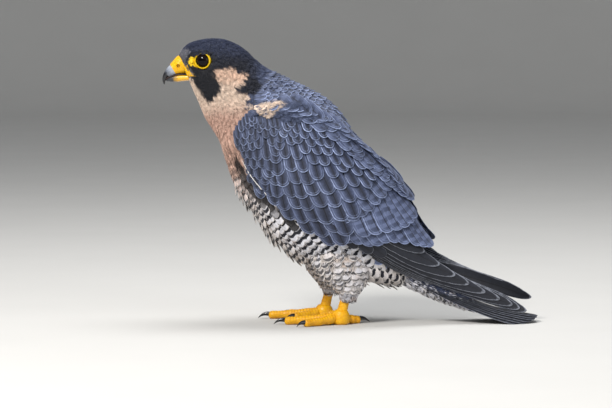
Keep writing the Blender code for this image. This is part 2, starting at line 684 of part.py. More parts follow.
def make_thigh(side):
    """The feathered leg, from inside the flank down to the bare tarsus."""
    rows = [np.array(row) for row in THIGH_RINGS]
    rings = []
    steps = 2 * (len(rows) - 1)
    for k in range(steps + 1):
        x, y, z, half_length, half_width = catmull_rom(rows, k / 2)
        shift = forward(side) * (0.3 + 0.7 * k / steps)
        rings.append(level_ring(x - shift, side * y, z, half_length, half_width, 16))
    thigh = loft("thigh_" + side_name(side), rings)
    colour(thigh, thigh.name, BARRED_GREY, 0.9)
    return thigh


def make_tarsus(side):
    """The bare leg between the feathers and the foot."""
    bottom_x, y = FOOT_CENTRE
    top_x, top_y, top_z = THIGH_RINGS[-1][:3]
    rings = []
    for k, swell in enumerate((1.12, 0.98, 0.95, 1.05)):
        t = k / 3
        x = bottom_x + (top_x - bottom_x) * t - forward(side)
        z = FOOT_TOP + GAP + (top_z - FOOT_TOP - 2 * GAP) * t
        radius = TARSUS_RADIUS * swell
        rings.append(level_ring(x, side * (y + (top_y - y) * t), z, radius, radius * 0.92, 12))
    tarsus = loft("tarsus_" + side_name(side), rings)
    colour(tarsus, tarsus.name, YELLOW, 0.5)


def toe_direction(side, heading):
    """The level direction of a toe: a heading of 0 is straight ahead."""
    return np.array([-math.cos(heading), side * math.sin(heading), 0.0])


def toe_rings(start, direction, length, radius):
    """Rings along a toe with its pads, flattened where they stand on the ground."""
    across = np.cross(np.array([0.0, 0.0, 1.0]), direction)
    rings = []
    for k in range(TOE_RINGS):
        t = k / (TOE_RINGS - 1)
        pads = PAD_SWELL * math.cos(2 * math.pi * TOE_PADS * t)
        size = radius * (1.0 - TOE_TAPER * t + pads)
        rise = KNUCKLE_RISE * (1 - t) ** 2
        centre = start + direction * length * t + np.array([0.0, 0.0, size * 0.93 + rise])
        ring = []
        for i in range(TOE_POINTS):
            angle = 2 * math.pi * (i + 0.5) / TOE_POINTS
            point = centre + across * size * math.cos(angle) + np.array([0.0, 0.0, size * math.sin(angle)])
            floor = rise * 0.6
            point[2] = max(point[2], floor if floor > LOWEST else 0.0)
            ring.append(point)
        rings.append(ring)
    return rings


def claw_rings(start, direction, length):
    """Rings of a hooked claw, from its flat root to its point."""
    across = np.cross(np.array([0.0, 0.0, 1.0]), direction)
    up = np.array([0.0, 0.0, 1.0])
    rings = []
    centre = start.copy()
    for k in range(CLAW_STEPS + 1):
        t = k / CLAW_STEPS
        pitch = CLAW_DROOP * t - CLAW_RISE
        ahead = direction * math.cos(pitch) - up * math.sin(pitch)
        above = direction * math.sin(pitch) + up * math.cos(pitch)
        size = CLAW_RADIUS * (1 - CLAW_TAPER * t ** 1.3)
        angles = [2 * math.pi * (i + 0.5) / CLAW_POINTS for i in range(CLAW_POINTS)]
        rings.append([centre + across * size * 0.8 * math.cos(angle) + above * size * math.sin(angle)
                      for angle in angles])
        centre = centre + ahead * length / CLAW_STEPS
    low = min(point[2] for ring in rings for point in ring)
    if low < LOWEST:
        lift = LOWEST - low
        base = start[2]
        for ring in rings:
            for point in ring:
                share = min(max((base - point[2]) / (base - low), 0.0), 1.0)
                point[2] += lift * share
    return rings


def make_foot(side):
    """The foot with its four toes as one piece, and each claw as its own."""
    name = side_name(side)
    x, y = FOOT_CENTRE[0] - forward(side), side * FOOT_CENTRE[1]
    rings = [level_ring(x, y, z, radius, radius * 0.9, 14) for z, radius in FOOT_RINGS]
    foot = loft("foot_" + name, rings)
    toes = collection("toes_" + name)
    for toe, heading, length, radius, claw_length in TOES:
        direction = toe_direction(side, heading)
        rings = toe_rings(np.array([x, y, 0.0]), direction, length, radius)
        loft("toe_" + toe, rings, "toes_" + name)
        end = sum(rings[-1]) / len(rings[-1]) + direction * (GAP + CLAW_RADIUS * math.sin(CLAW_RISE))
        claw = loft(f"claw_{toe}_{name}", claw_rings(end, direction, claw_length))
        colour(claw, claw.name, HORN, 0.25)
    join_all(foot, toes)
    colour(foot, foot.name, YELLOW, 0.5)


def join_all(thing, pieces, solver="EXACT"):
    """Fuses a collection's pieces into one object, and removes the pieces."""
    boolean(thing, pieces, "UNION", solver)
    for piece in list(pieces.objects):
        remove(piece)
    bpy.data.collections.remove(pieces)
    keep_largest(thing)


def cut_clear(thing, other):
    """Cuts a piece away where it would enter another, with the clearance between them."""
    cutter = other.copy()
    cutter.data = other.data.copy()
    collection("cutters").objects.link(cutter)
    grow(cutter, GAP)
    boolean(thing, cutter, "DIFFERENCE")
    remove(cutter)
    keep_largest(thing)


def body_cutter():
    """The neck and torso in one, grown by the clearance, to cut the wings and legs."""
    cutter = body_piece("body_cutter", TORSO_START - 0.5, BODY_END, 1.5, "cutters")
    ahead = body_piece("neck_cutter", NECK_START - 0.5, TORSO_START - 0.3, 5, "cutters")
    grow(cutter, GAP)
    grow(ahead, GAP)
    boolean(cutter, ahead, "UNION")
    remove(ahead)
    return cutter


def tail_surface(place):
    """Point and upward normal of the tail's upper sheet, at (stations along it, distance aside)."""
    line = [np.array(p) for p in TAIL_LINE]

    def point(along, aside):
        x, z = catmull_rom(line, along)
        return np.array([x, aside, z - TAIL_ARCH * (aside / 0.020) ** 2])

    step = 0.02
    along = point(min(place[0] + step, 5.0), place[1]) - point(place[0] - step, place[1])
    across = point(place[0], place[1] + 0.0005) - point(place[0], place[1] - 0.0005)
    normal = np.cross(along, across)
    normal /= np.linalg.norm(normal)
    return point(*place), normal if normal[2] > 0 else -normal


def tail_feathers():
    """Twelve tail feathers, the middle pair on top and each pair outwards under the last."""
    last = len(TAIL_LINE) - 1
    for side in (-1, 1):
        for k in range(TAIL_FEATHERS):
            drop = TAIL_FEATHER_PITCH * (k + (0.9 if k == 0 and side > 0 else 0.0))
            root = np.array([0.2, side * (TAIL_ROOT_ASIDE + TAIL_ROOT_SPREAD * k)])
            tip = np.array([last - TAIL_STEP * k * k, side * (TAIL_TIP_ASIDE + TAIL_TIP_SPREAD * k)])

            def path(t):
                return root + (tip - root) * t, -drop

            vane(f"rectrix_{k}_{side_name(side)}", path, tail_surface, TAIL_FEATHER_WIDTH, "tail", 0,
                 "tail_pieces")


def make_tail(cutter):
    """The tail's feathers and the coverts' body that they grow from."""
    rows = [np.array(row) for row in TAIL_ROOT_RINGS]
    rings = [ring_points(row, 16) for row in rows]
    tail = loft("tail", rings)
    tail_feathers()
    join_all(tail, collection("tail_pieces"))
    boolean(tail, cutter, "DIFFERENCE")
    keep_largest(tail)
    colour(tail, "tail", DARK_SLATE, 0.6)
    return tail


def make_body():
    """Head, neck and torso, with the eyes and the line of the mouth."""
    head = body_piece("head", 0, NECK_START - 0.5, 2)
    neck = body_piece("neck", NECK_START - 0.5, TORSO_START - 0.5, 2, start_gap=GAP)
    torso = body_piece("torso", TORSO_START - 0.5, BODY_END, 1.5, start_gap=GAP)
    colour(head, "head", DARK_SLATE, 0.8)
    colour(neck, "neck", CREAM, 0.9)
    colour(torso, "torso", BARRED_GREY, 0.9)
    for side in (-1, 1):
        make_eye(side, head)
        make_mouth_slot(side, head)
    keep_largest(head)


def centre_model():
    """Moves the bird so that its box is centred on the origin and stands on z = 0."""
    things = [thing for thing in collection(BIRD).objects if thing.type == "MESH"]
    bpy.context.view_layer.update()
    corners = [thing.matrix_world @ vertex.co for thing in things for vertex in thing.data.vertices]
    low = Vector([min(corner[k] for corner in corners) for k in range(3)])
    high = Vector([max(corner[k] for corner in corners) for k in range(3)])
    root = bpy.data.objects.new("bird_root", None)
    collection(BIRD).objects.link(root)
    for thing in things:
        thing.parent = root
    root.location = (-(low.x + high.x) / 2, -(low.y + high.y) / 2, -low.z)
    bpy.context.view_layer.update()


def main():
    """Builds the bird part by part."""
    for thing in list(bpy.data.objects):
        bpy.data.objects.remove(thing)
    collection(BIRD)
    make_body()
    make_bill()
    cutter = body_cutter()
    make_tail(cutter)
    for side in (-1, 1):
        make_wing(side, cutter)
        thigh = make_thigh(side)
        boolean(thigh, cutter, "DIFFERENCE")
        keep_largest(thigh)
        make_tarsus(side)
        make_foot(side)
    remove(cutter)
    centre_model()


main()
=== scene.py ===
"""Peregrine falcon, adult male: the model as it is seen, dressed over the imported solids.

Units are metres, +Z is up and the bird faces -X, so its left side is at -Y. Shapes are laid out
as in the part's source, in the bird's own plane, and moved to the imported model's place at the end.
"""
import math

import bmesh
import bpy
import numpy as np
from mathutils import Matrix, Vector
from mathutils.bvhtree import BVHTree


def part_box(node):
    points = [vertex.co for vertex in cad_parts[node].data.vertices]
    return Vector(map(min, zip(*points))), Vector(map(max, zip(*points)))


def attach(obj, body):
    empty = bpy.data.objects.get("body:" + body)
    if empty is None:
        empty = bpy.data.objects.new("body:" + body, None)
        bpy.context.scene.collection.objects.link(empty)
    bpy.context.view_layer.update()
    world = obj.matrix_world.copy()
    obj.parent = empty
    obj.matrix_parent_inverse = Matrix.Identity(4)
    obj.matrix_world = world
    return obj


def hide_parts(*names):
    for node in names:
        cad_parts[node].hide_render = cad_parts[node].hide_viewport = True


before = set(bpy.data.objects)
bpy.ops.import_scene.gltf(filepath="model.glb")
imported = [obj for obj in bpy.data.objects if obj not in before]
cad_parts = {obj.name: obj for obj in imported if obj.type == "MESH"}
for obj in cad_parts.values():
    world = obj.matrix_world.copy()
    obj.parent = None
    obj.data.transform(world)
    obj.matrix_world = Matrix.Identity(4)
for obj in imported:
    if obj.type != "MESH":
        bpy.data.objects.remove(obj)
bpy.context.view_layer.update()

BODY = "root"                    # the part has no joints, so every piece rides on its one body
LEFT, RIGHT = -1, 1
SIDES = {"left": LEFT, "right": RIGHT}

# The body's stations, as in the part's source: each is a flat ring, with its top (x, z), its
# underside (x, z), half its width, and how far up the ring it is widest.
HEAD_STATIONS = [
    (-0.1374, 0.2455, -0.1270, 0.2222, 0.0088, 0.50),
    (-0.1338, 0.2509, -0.1255, 0.2180, 0.0125, 0.52),
    (-0.1282, 0.2559, -0.1240, 0.2146, 0.0160, 0.56),
    (-0.1209, 0.2587, -0.1225, 0.2108, 0.0190, 0.58),
    (-0.1126, 0.2603, -0.1200, 0.2058, 0.0208, 0.58),
    (-0.1034, 0.2607, -0.1175, 0.1998, 0.0217, 0.56),
    (-0.0942, 0.2596, -0.1149, 0.1934, 0.0225, 0.53),
    (-0.0850, 0.2559, -0.1117, 0.1865, 0.0240, 0.50),
    (-0.0758, 0.2499, -0.1075, 0.1805, 0.0262, 0.48),
]
NECK_STATIONS = [
    (-0.0685, 0.2430, -0.1036, 0.1740, 0.0292, 0.48),
    (-0.0590, 0.2350, -0.1000, 0.1682, 0.0335, 0.48),
    (-0.0475, 0.2286, -0.0972, 0.1610, 0.0385, 0.48),
]
TORSO_STATIONS = [
    (-0.0335, 0.2220, -0.0930, 0.1481, 0.0440, 0.48),
    (-0.0171, 0.2138, -0.0887, 0.1346, 0.0480, 0.48),
    (-0.0006, 0.2046, -0.0820, 0.1213, 0.0500, 0.50),
    (0.0130, 0.1900, -0.0725, 0.1078, 0.0505, 0.50),
    (0.0240, 0.1705, -0.0619, 0.0926, 0.0500, 0.50),
    (0.0330, 0.1500, -0.0473, 0.0745, 0.0480, 0.48),
    (0.0430, 0.1280, -0.0301, 0.0595, 0.0440, 0.46),
    (0.0520, 0.1070, -0.0117, 0.0520, 0.0390, 0.45),
    (0.0590, 0.0880, 0.0091, 0.0455, 0.0330, 0.45),
    (0.0640, 0.0725, 0.0305, 0.0400, 0.0265, 0.45),
    (0.0690, 0.0640, 0.0522, 0.0360, 0.0205, 0.45),
    (0.0763, 0.0560, 0.0676, 0.0342, 0.0155, 0.45),
]
BODY_STATIONS = HEAD_STATIONS + NECK_STATIONS + TORSO_STATIONS
BODY_END = len(BODY_STATIONS) - 1
TAIL_ROOT_RINGS = [
    (0.0640, 0.0670, 0.0480, 0.0405, 0.0130, 0.45),
    (0.0725, 0.0585, 0.0640, 0.0365, 0.0150, 0.45),
    (0.0900, 0.0478, 0.0820, 0.0285, 0.0160, 0.45),
    (0.1040, 0.0395, 0.0980, 0.0210, 0.0150, 0.45),
    (0.1180, 0.0310, 0.1140, 0.0155, 0.0125, 0.45),
    (0.1300, 0.0255, 0.1280, 0.0112, 0.0105, 0.45),
    (0.1450, 0.0205, 0.1440, 0.0078, 0.0090, 0.45),
]
THIGH_RINGS = [                  # x, distance from the middle plane, z, half length, half width
    (0.0040, 0.0210, 0.0780, 0.0215, 0.0115), (0.0080, 0.0232, 0.0640, 0.0245, 0.0150),
    (0.0120, 0.0240, 0.0520, 0.0240, 0.0152), (0.0155, 0.0245, 0.0420, 0.0205, 0.0132),
    (0.0180, 0.0250, 0.0345, 0.0140, 0.0104), (0.0185, 0.0250, 0.0290, 0.0090, 0.0082),
    (0.0185, 0.0250, 0.0210, 0.0066, 0.0062),
]
FAR_LEG_FORWARD = 0.0150

EYE = (-0.1135, 0.0137, 0.2412)
EYE_RADIUS = 0.0074
EYE_FORWARD = math.radians(16)
EYE_DOWN = math.radians(3)
EYE_OPENING = 0.0063
LID_RADIUS = 0.0080
BROW_RISE = 0.0016
BROW_ABOVE_EYE = 0.0085
BROW_LENGTH = 0.0110
BROW_HEIGHT = 0.0035
BROW_COVER = 0.0012              # how far the brow's feathers reach over the eye's ring

WING_LOWER = [
    (-0.0817, 0.0340, 0.1610), (-0.0657, 0.0440, 0.1356), (-0.0353, 0.0500, 0.1051),
    (0.0018, 0.0490, 0.0824), (0.0384, 0.0410, 0.0596), (0.0771, 0.0290, 0.0415),
    (0.1252, 0.0225, 0.0305), (0.1656, 0.0185, 0.0195), (0.1860, 0.0165, 0.0150),
]
WING_MIDDLE = [
    (-0.0845, 0.0420, 0.1822), (-0.0519, 0.0540, 0.1683), (-0.0145, 0.0580, 0.1420),
    (0.0246, 0.0540, 0.1168), (0.0558, 0.0440, 0.0871), (0.0882, 0.0310, 0.0610),
    (0.1300, 0.0215, 0.0395), (0.1690, 0.0170, 0.0225), (0.1880, 0.0150, 0.0165),
]
WING_UPPER = [
    (-0.0660, 0.0480, 0.2003), (-0.0326, 0.0495, 0.2013), (0.0073, 0.0360, 0.1882),
    (0.0512, 0.0140, 0.1514), (0.0745, 0.0110, 0.1169), (0.0990, 0.0105, 0.0800),
    (0.1356, 0.0125, 0.0540), (0.1760, 0.0125, 0.0265), (0.1900, 0.0125, 0.0190),
]
FAR_WING_RISE = math.radians(2.2)
TAIL_LINE = [
    (0.0640, 0.0500), (0.0900, 0.0395), (0.1200, 0.0262),
    (0.1500, 0.0150), (0.1750, 0.0092), (0.1930, 0.0064),
]
TAIL_ARCH = 0.0030               # drop at 20 mm from the middle line

BAR_PITCH = 0.0084               # from one dark bar to the next, on the small feathers
VANE_BAR_PITCH = 0.0080          # and on the stiff ones
UP_THE_WING = np.array([0.7, 0.0, 0.7])    # from the wing's lower edge towards its upper one
SLOPE_STEP = 1e-3                # step in a surface's own numbers, for its slopes
SPAN_STEP = 0.05                 # and for the length that one unit of them covers
RING_SAMPLES = 72                # points round a closed surface, for its girth
VANE_THICKNESS = 0.0004

# The line down the side that parts the dark back from the pale front, and the body's middle line.
BACK_LINE = ((-0.12, -0.085, -0.073, -0.070, -0.03, 0.0, 0.03, 0.06, 0.09, 0.12, 0.15),
             (0.236, 0.221, 0.211, 0.196, 0.185, 0.170, 0.140, 0.060, 0.040, 0.025, 0.0125))
MIDDLE_LINE = ((-0.14, -0.09, -0.04, 0.02, 0.07, 0.104, 0.13, 0.20),
               (0.236, 0.225, 0.17, 0.10, 0.046, 0.029, 0.018, 0.006))

# Where the photograph's markings on the head lie: one pixel is 0.92 mm, counted from the eye.
PIXEL = 0.00092
EYE_PIXEL = (204, 59)
MALAR = [(193, 67), (214, 67), (216, 75), (219.5, 82), (221.5, 90), (216, 97), (210.5, 103),
         (206, 98), (200, 90), (195, 80), (192.5, 74)]
CHEEK = [(214.5, 69.5), (222, 68), (233, 68.5), (241, 72), (250.5, 77.5), (245, 83), (239.5, 88.5),
         (239, 92), (250, 94), (249, 104), (246, 110), (236, 125), (205, 125), (201, 112), (206, 104),
         (213, 101), (222, 92), (220, 84), (217, 77)]
THROAT = [(184, 77), (192, 77), (199, 88), (205, 98), (210, 106), (222, 130), (205, 135), (178, 80)]
SCAPULAR_PATCH = [(247, 108.5), (250, 105.5), (257, 104.5), (262, 103.5), (266, 101.5), (272, 100.5),
                  (283, 100), (286, 101.5), (281, 104), (277, 108), (273, 112), (269, 112.5), (264, 109.5),
                  (257, 107.5), (251, 109)]
# WING_SHADE: where painted shade lies on the flank beside the folded wing's edge.
WING_SHADE = [(234, 157), (240, 157), (244, 163), (252.5, 175), (264, 186), (274, 201), (290, 211),
              (300, 222), (308, 229), (300, 230), (286, 220), (275, 212), (261, 202), (250, 195), (244, 187),
              (240, 176), (236, 166)]
# BROW_DARK: painted shade under the brow over the eye, and in front of the eye the dark lore line.
BROW_DARK = [(188, 53), (197, 50), (206, 49.5), (214, 53), (218, 60), (216, 64), (212, 56), (204, 52),
             (196, 53), (190, 57)]
LORES = [(176, 54), (180, 48), (187, 47), (191, 50), (188, 55), (186.5, 61), (190, 67), (194, 71),
         (193, 76), (186, 72), (183, 62), (181, 55)]
GAPE_SKIN = [(183.0, 61), (185.5, 65), (189.5, 69.5), (195.5, 73), (191, 75.5), (186, 75.5), (182.5, 72),
             (181.5, 66)]
NAPE_WEDGE = [(251, 76), (264, 78), (264, 100), (253, 94), (244, 92.5), (239.5, 91.5), (241, 88), (246, 83)]

# Linear colours.
CAP = (0.028, 0.037, 0.076)
CAP_DEEP = (0.010, 0.012, 0.023)
MALAR_DARK = (0.009, 0.010, 0.016)
LORE_GREY = (0.260, 0.260, 0.300)
PEACH = (0.780, 0.540, 0.410)
CREAM = (0.820, 0.650, 0.530)
BUFF = (0.620, 0.400, 0.320)
BELLY = (0.660, 0.600, 0.570)
FLANK = (0.660, 0.660, 0.720)
SLATE = (0.066, 0.084, 0.155)
SLATE_PALE = (0.130, 0.165, 0.285)
SHADE_DARK = (0.012, 0.010, 0.011)
BLACKISH = (0.016, 0.018, 0.026)
DARK_QUILL = (0.020, 0.023, 0.034)

# Weights of a stiff feather's pale fringe, bars and dark middle.
BARRED_MARK = (0.7, 0.85, 0.35)

shift = np.zeros(3)              # from the bird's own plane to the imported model's place
draw = np.random.default_rng(11)


def spline(rows, t):
    """Catmull-Rom curve through rows of numbers, at many parameters at once."""
    rows = np.asarray(rows, float)
    ends = np.vstack([2 * rows[0] - rows[1], rows, 2 * rows[-1] - rows[-2]])
    t = np.clip(np.asarray(t, float), 0, len(rows) - 1)
    i = np.minimum(t.astype(int), len(rows) - 2)
    f = (t - i)[..., None]
    a, b, c, d = (ends[i + k] for k in range(4))
    return 0.5 * (2 * b + (c - a) * f + (2 * a - 5 * b + 4 * c - d) * f ** 2
                  + (3 * b - a - 3 * c + d) * f ** 3)


def unit(vectors):
    return vectors / np.maximum(np.linalg.norm(vectors, axis=-1, keepdims=True), 1e-12)


def smooth(value, low, high):
    """0 below low, 1 above high and a smooth step between them."""
    share = np.clip((value - low) / (high - low), 0, 1)
    return share * share * (3 - 2 * share)


def ring_surface(stations, t, turn, squareness=0.95):
    """Points of a loft of flat rings; turn runs from 0 at the top by the right side to 1."""
    top_x, top_z, low_x, low_z, half, belt = np.moveaxis(spline(stations, t), -1, 0)
    up, out = np.cos(2 * np.pi * turn), np.sin(2 * np.pi * turn)
    up = np.sign(up) * np.abs(up) ** squareness
    out = np.sign(out) * np.abs(out) ** squareness
    middle_x, middle_z = low_x + (top_x - low_x) * belt, low_z + (top_z - low_z) * belt
    x = middle_x + np.where(up > 0, top_x - middle_x, middle_x - low_x) * up
    z = middle_z + np.where(up > 0, top_z - middle_z, middle_z - low_z) * up
    return np.stack([x, half * out, z], -1)


def body_surface(t, turn):
    points = ring_surface(BODY_STATIONS, t, turn)
    along = (points[..., 0] - EYE[0] + 0.002) / BROW_LENGTH
    above = (points[..., 2] - EYE[2] - BROW_ABOVE_EYE + 0.2 * (points[..., 0] - EYE[0])) / BROW_HEIGHT
    side = np.sign(points[..., 1]) * smooth(np.abs(points[..., 1]), 0.001, 0.004)
    points[..., 1] += side * BROW_RISE * np.exp(-along ** 2 - above ** 2)
    return points


def rump_surface(t, turn):
    return ring_surface(TAIL_ROOT_RINGS, t, turn)


def thigh_surface(side):
    """The feathered leg's surface; t runs down it."""
    def surface(t, turn):
        x, y, z, half_length, half_width = np.moveaxis(spline(THIGH_RINGS, t), -1, 0)
        ahead = FAR_LEG_FORWARD * (0.3 + 0.7 * np.clip(np.asarray(t) / 5, 0, 1)) if side == RIGHT else 0
        angle = 2 * np.pi * turn
        return np.stack([x - ahead - half_length * np.cos(angle),
                         side * y + half_width * np.sin(angle), z + 0 * angle], -1)
    return surface


def wing_surface(side):
    """The folded wing's sheet: u counts stations from the wrist, v runs up from its lower edge."""
    def surface(u, v):
        u, v = np.broadcast_arrays(np.asarray(u, float), np.asarray(v, float))
        low, middle, high = (spline(curve, u) for curve in (WING_LOWER, WING_MIDDLE, WING_UPPER))
        w = v[..., None]
        point = low * (1 - w) * (1 - 2 * w) + middle * 4 * w * (1 - w) + high * w * (2 * w - 1)
        if side == RIGHT:
            turn = FAR_WING_RISE * smooth(u, 3, 7)
            x, z = point[..., 0] - WING_MIDDLE[0][0], point[..., 2] - WING_MIDDLE[0][2]
            point[..., 0] += -z * np.sin(turn) + x * (np.cos(turn) - 1)
            point[..., 2] += x * np.sin(turn) + z * (np.cos(turn) - 1)
        point[..., 1] *= side
        return point
    return surface


def tail_surface(along, aside):
    """The tail's upper sheet, at stations along it and metres aside."""
    line = spline(TAIL_LINE, along)
    return np.stack([line[..., 0], aside + 0 * line[..., 0],
                     line[..., 1] - TAIL_ARCH * (aside / 0.020) ** 2], -1)


def slopes(surface, a, b):
    """How a surface's points move with each of its own two numbers."""
    along = surface(a + SLOPE_STEP, b) - surface(a - SLOPE_STEP, b)
    across = surface(a, b + SLOPE_STEP) - surface(a, b - SLOPE_STEP)
    return along / (2 * SLOPE_STEP), across / (2 * SLOPE_STEP)


def always(*direction):
    """One outward direction for every point, for telling a normal's outer side."""
    return lambda points: np.broadcast_to(np.array(direction, float), points.shape)


def frames(surface, a, b, outwards):
    """Points of a surface, its normals on the side of outwards(points), and its two slopes."""
    here = surface(a, b)
    along, across = slopes(surface, a, b)
    normal = unit(np.cross(along, across))
    facing = np.sum(normal * outwards(here), -1, keepdims=True)
    return here, np.where(facing < 0, -normal, normal), along, across


def zone(outline, x, z, soft):
    """How far inside an outline points are: 0 outside it, 1 inside, with a soft edge."""
    corners = np.asarray(outline, float)
    ends = np.roll(corners, -1, 0)
    x, z = np.asarray(x)[..., None], np.asarray(z)[..., None]
    edge = ends - corners
    share = ((x - corners[:, 0]) * edge[:, 0] + (z - corners[:, 1]) * edge[:, 1]) / (edge ** 2).sum(1)
    share = np.clip(share, 0, 1)
    gap = np.hypot(x - corners[:, 0] - share * edge[:, 0], z - corners[:, 1] - share * edge[:, 1]).min(-1)
    crosses = (corners[:, 1] > z) != (ends[:, 1] > z)
    rise = np.where(np.abs(edge[:, 1]) < 1e-12, 1e-12, edge[:, 1])
    inside = (crosses & (x < corners[:, 0] + (z - corners[:, 1]) / rise * edge[:, 0])).sum(-1) % 2
    return smooth(np.where(inside == 1, gap, -gap), -soft, soft)


def head_zone(outline, points, soft=1.2):
    """A zone drawn in the photograph's pixels, on points of the head or neck."""
    x = EYE_PIXEL[0] + (points[..., 0] - EYE[0]) / PIXEL
    y = EYE_PIXEL[1] - (points[..., 2] - EYE[2]) / PIXEL
    return zone(outline, x, y, soft)


def blend(first, second, share):
    return np.asarray(first) * (1 - share[..., None]) + np.asarray(second) * share[..., None]


def markings(points):
    """The plumage's colour at points of the body, with painted shade beside the folded wing, down the
    belly's middle and under the brow and a painted highlight on the crown's top, the weights there of its
    bars, its streaks and the forehead's pale frosting, and whether a point lies on the pale front."""
    x, y, z = np.moveaxis(points, -1, 0)
    back = smooth(z - np.interp(x, *BACK_LINE), -0.0015, 0.0015)
    low = smooth(-z, -0.150, -0.085)
    front = blend(BUFF, BELLY, low)
    front = blend(front, FLANK, low * smooth(np.abs(y), 0.015, 0.035))
    front = blend(front, CREAM, smooth(z, 0.185, 0.200) * 0.45)
    colour = blend(front, blend(SLATE, SLATE_PALE, smooth(z, 0.16, 0.05) * 0.5), back)
    head = smooth(z - 0.2 * (x + 0.1135), 0.196, 0.214) * smooth(-x, 0.052, 0.075)
    # The crown's top is painted lighter and bluer (CAP) than the rest of the head (CAP_DEEP): a painted
    # highlight where light falls on top.
    crown = smooth(z, 0.236, 0.252)
    colour = blend(colour, blend(CAP_DEEP, CAP, crown), head)
    cheek = head_zone(CHEEK, points)
    cheek_colour = blend(blend(PEACH, CREAM, smooth(-z, -0.226, -0.212)), front, smooth(-z, -0.209, -0.188))
    colour = blend(colour, cheek_colour, cheek)
    throat = np.maximum(head_zone(THROAT, points), smooth(0.010 - np.abs(y), -0.003, 0.003)
                        * smooth(-z, -0.2215, -0.2195) * smooth(-x, 0.06, 0.08))
    colour = blend(colour, CREAM, throat * smooth(z, 0.185, 0.205) * 0.9)
    colour = blend(colour, CAP_DEEP, head_zone(NAPE_WEDGE, points, 1.0))
    patch = head_zone(SCAPULAR_PATCH, points) * smooth(np.abs(y), 0.024, 0.030)
    colour = blend(colour, CREAM, patch)
    # Over the eye the head is painted near-black: painted shade under the brow, with the dark lore line's
    # own colour in front.
    colour = blend(colour, MALAR_DARK, head_zone(BROW_DARK, points) * 0.85)
    malar = head_zone(MALAR, points) * smooth(np.abs(y), 0.006, 0.009)
    colour = blend(colour, MALAR_DARK, malar)
    lores = head_zone(LORES, points, 1.5)
    colour = blend(colour, LORE_GREY, lores * 0.6)
    forehead = np.maximum(smooth(-x, 0.1290, 0.1345) * smooth(z, 0.2330, 0.2400) * 0.8, lores)
    # Beside the folded wing's edge the flank is painted near-black: painted shade under the wing's edge.
    shade = head_zone(WING_SHADE, points, 1.5) * (1 - back) * smooth(np.abs(y), 0.020, 0.028)
    colour = blend(colour, SHADE_DARK, shade * 0.95)
    # Down the underside's middle the colour is darkened: painted shade on the belly's front.
    underside_shade = smooth(-np.abs(y), -0.024, -0.010) * low * (1 - back)
    colour = blend(colour, colour * 0.4, underside_shade * 0.6)
    bars = (1 - back) * smooth(-z, -0.152, -0.120) * (1 - cheek) * (1 - malar) * (1 - shade)
    spotted = smooth(z, 0.095, 0.115) * smooth(-z, -0.172, -0.155)
    streaks = (1 - back) * (1 - malar) * np.maximum(spotted, smooth(z, 0.150, 0.170) * 0.25)
    return colour, bars, streaks, forehead, 1 - np.maximum(head, back)


class Graph:
    """A material's node tree, with short calls for the nodes that it is made of."""

    def __init__(self, name, **settings):
        self.material = bpy.data.materials.new(name)
        self.material.use_nodes = True
        self.tree = self.material.node_tree
        self.shader = self.tree.nodes["Principled BSDF"]
        for key, value in settings.items():
            self.shader.inputs[key.replace("_", " ")].default_value = value

    def node(self, kind, inputs=(), **settings):
        made = self.tree.nodes.new("ShaderNode" + kind)
        for key, value in settings.items():
            setattr(made, key, value)
        for key, value in dict(inputs).items():
            self.put(made.inputs[key], value)
        return made

    def put(self, socket, value):
        if isinstance(value, bpy.types.NodeSocket):
            self.tree.links.new(value, socket)
        elif isinstance(value, tuple) and len(value) == 3 and socket.type == "RGBA":
            socket.default_value = (*value, 1)
        else:
            socket.default_value = value

    def attribute(self, name):
        return self.node("Attribute", attribute_name=name)

    def parts(self, vector):
        return self.node("SeparateXYZ", {0: vector}).outputs

    def math(self, operation, *values):
        return self.node("Math", dict(enumerate(values)), operation=operation).outputs[0]

    def times(self, first, second):
        return self.math("MULTIPLY", first, second)

    def plus(self, first, second):
        return self.math("ADD", first, second)

    def minus(self, first, second):
        return self.math("SUBTRACT", first, second)

    def size(self, value):
        return self.math("ABSOLUTE", value)

    def step(self, value, low, high, to_low=0.0, to_high=1.0):
        made = self.node("MapRange", {0: value, 1: low, 2: high, 3: to_low, 4: to_high},
                         interpolation_type="SMOOTHSTEP")
        return made.outputs[0]

    def mix(self, share, first, second, kind="MIX"):
        made = self.node("Mix", {0: share, 6: first, 7: second}, data_type="RGBA", blend_type=kind)
        return made.outputs[2]

    def shade(self, colour, tone):
        grey = self.node("CombineColor", {0: tone, 1: tone, 2: tone}).outputs[0]
        return self.mix(1.0, colour, grey, "MULTIPLY")

    def noise(self, vector, scale, detail=2.0):
        return self.node("TexNoise", {"Vector": vector, "Scale": scale, "Detail": detail}).outputs[0]

    def bump(self, height, distance, strength=1.0):
        made = self.node("Bump", {"Height": height, "Distance": distance, "Strength": strength})
        self.put(self.shader.inputs["Normal"], made.outputs[0])

    def colour(self, value):
        self.put(self.shader.inputs["Base Color"], value)

    def place(self):
        return self.node("TexCoord").outputs["Object"]


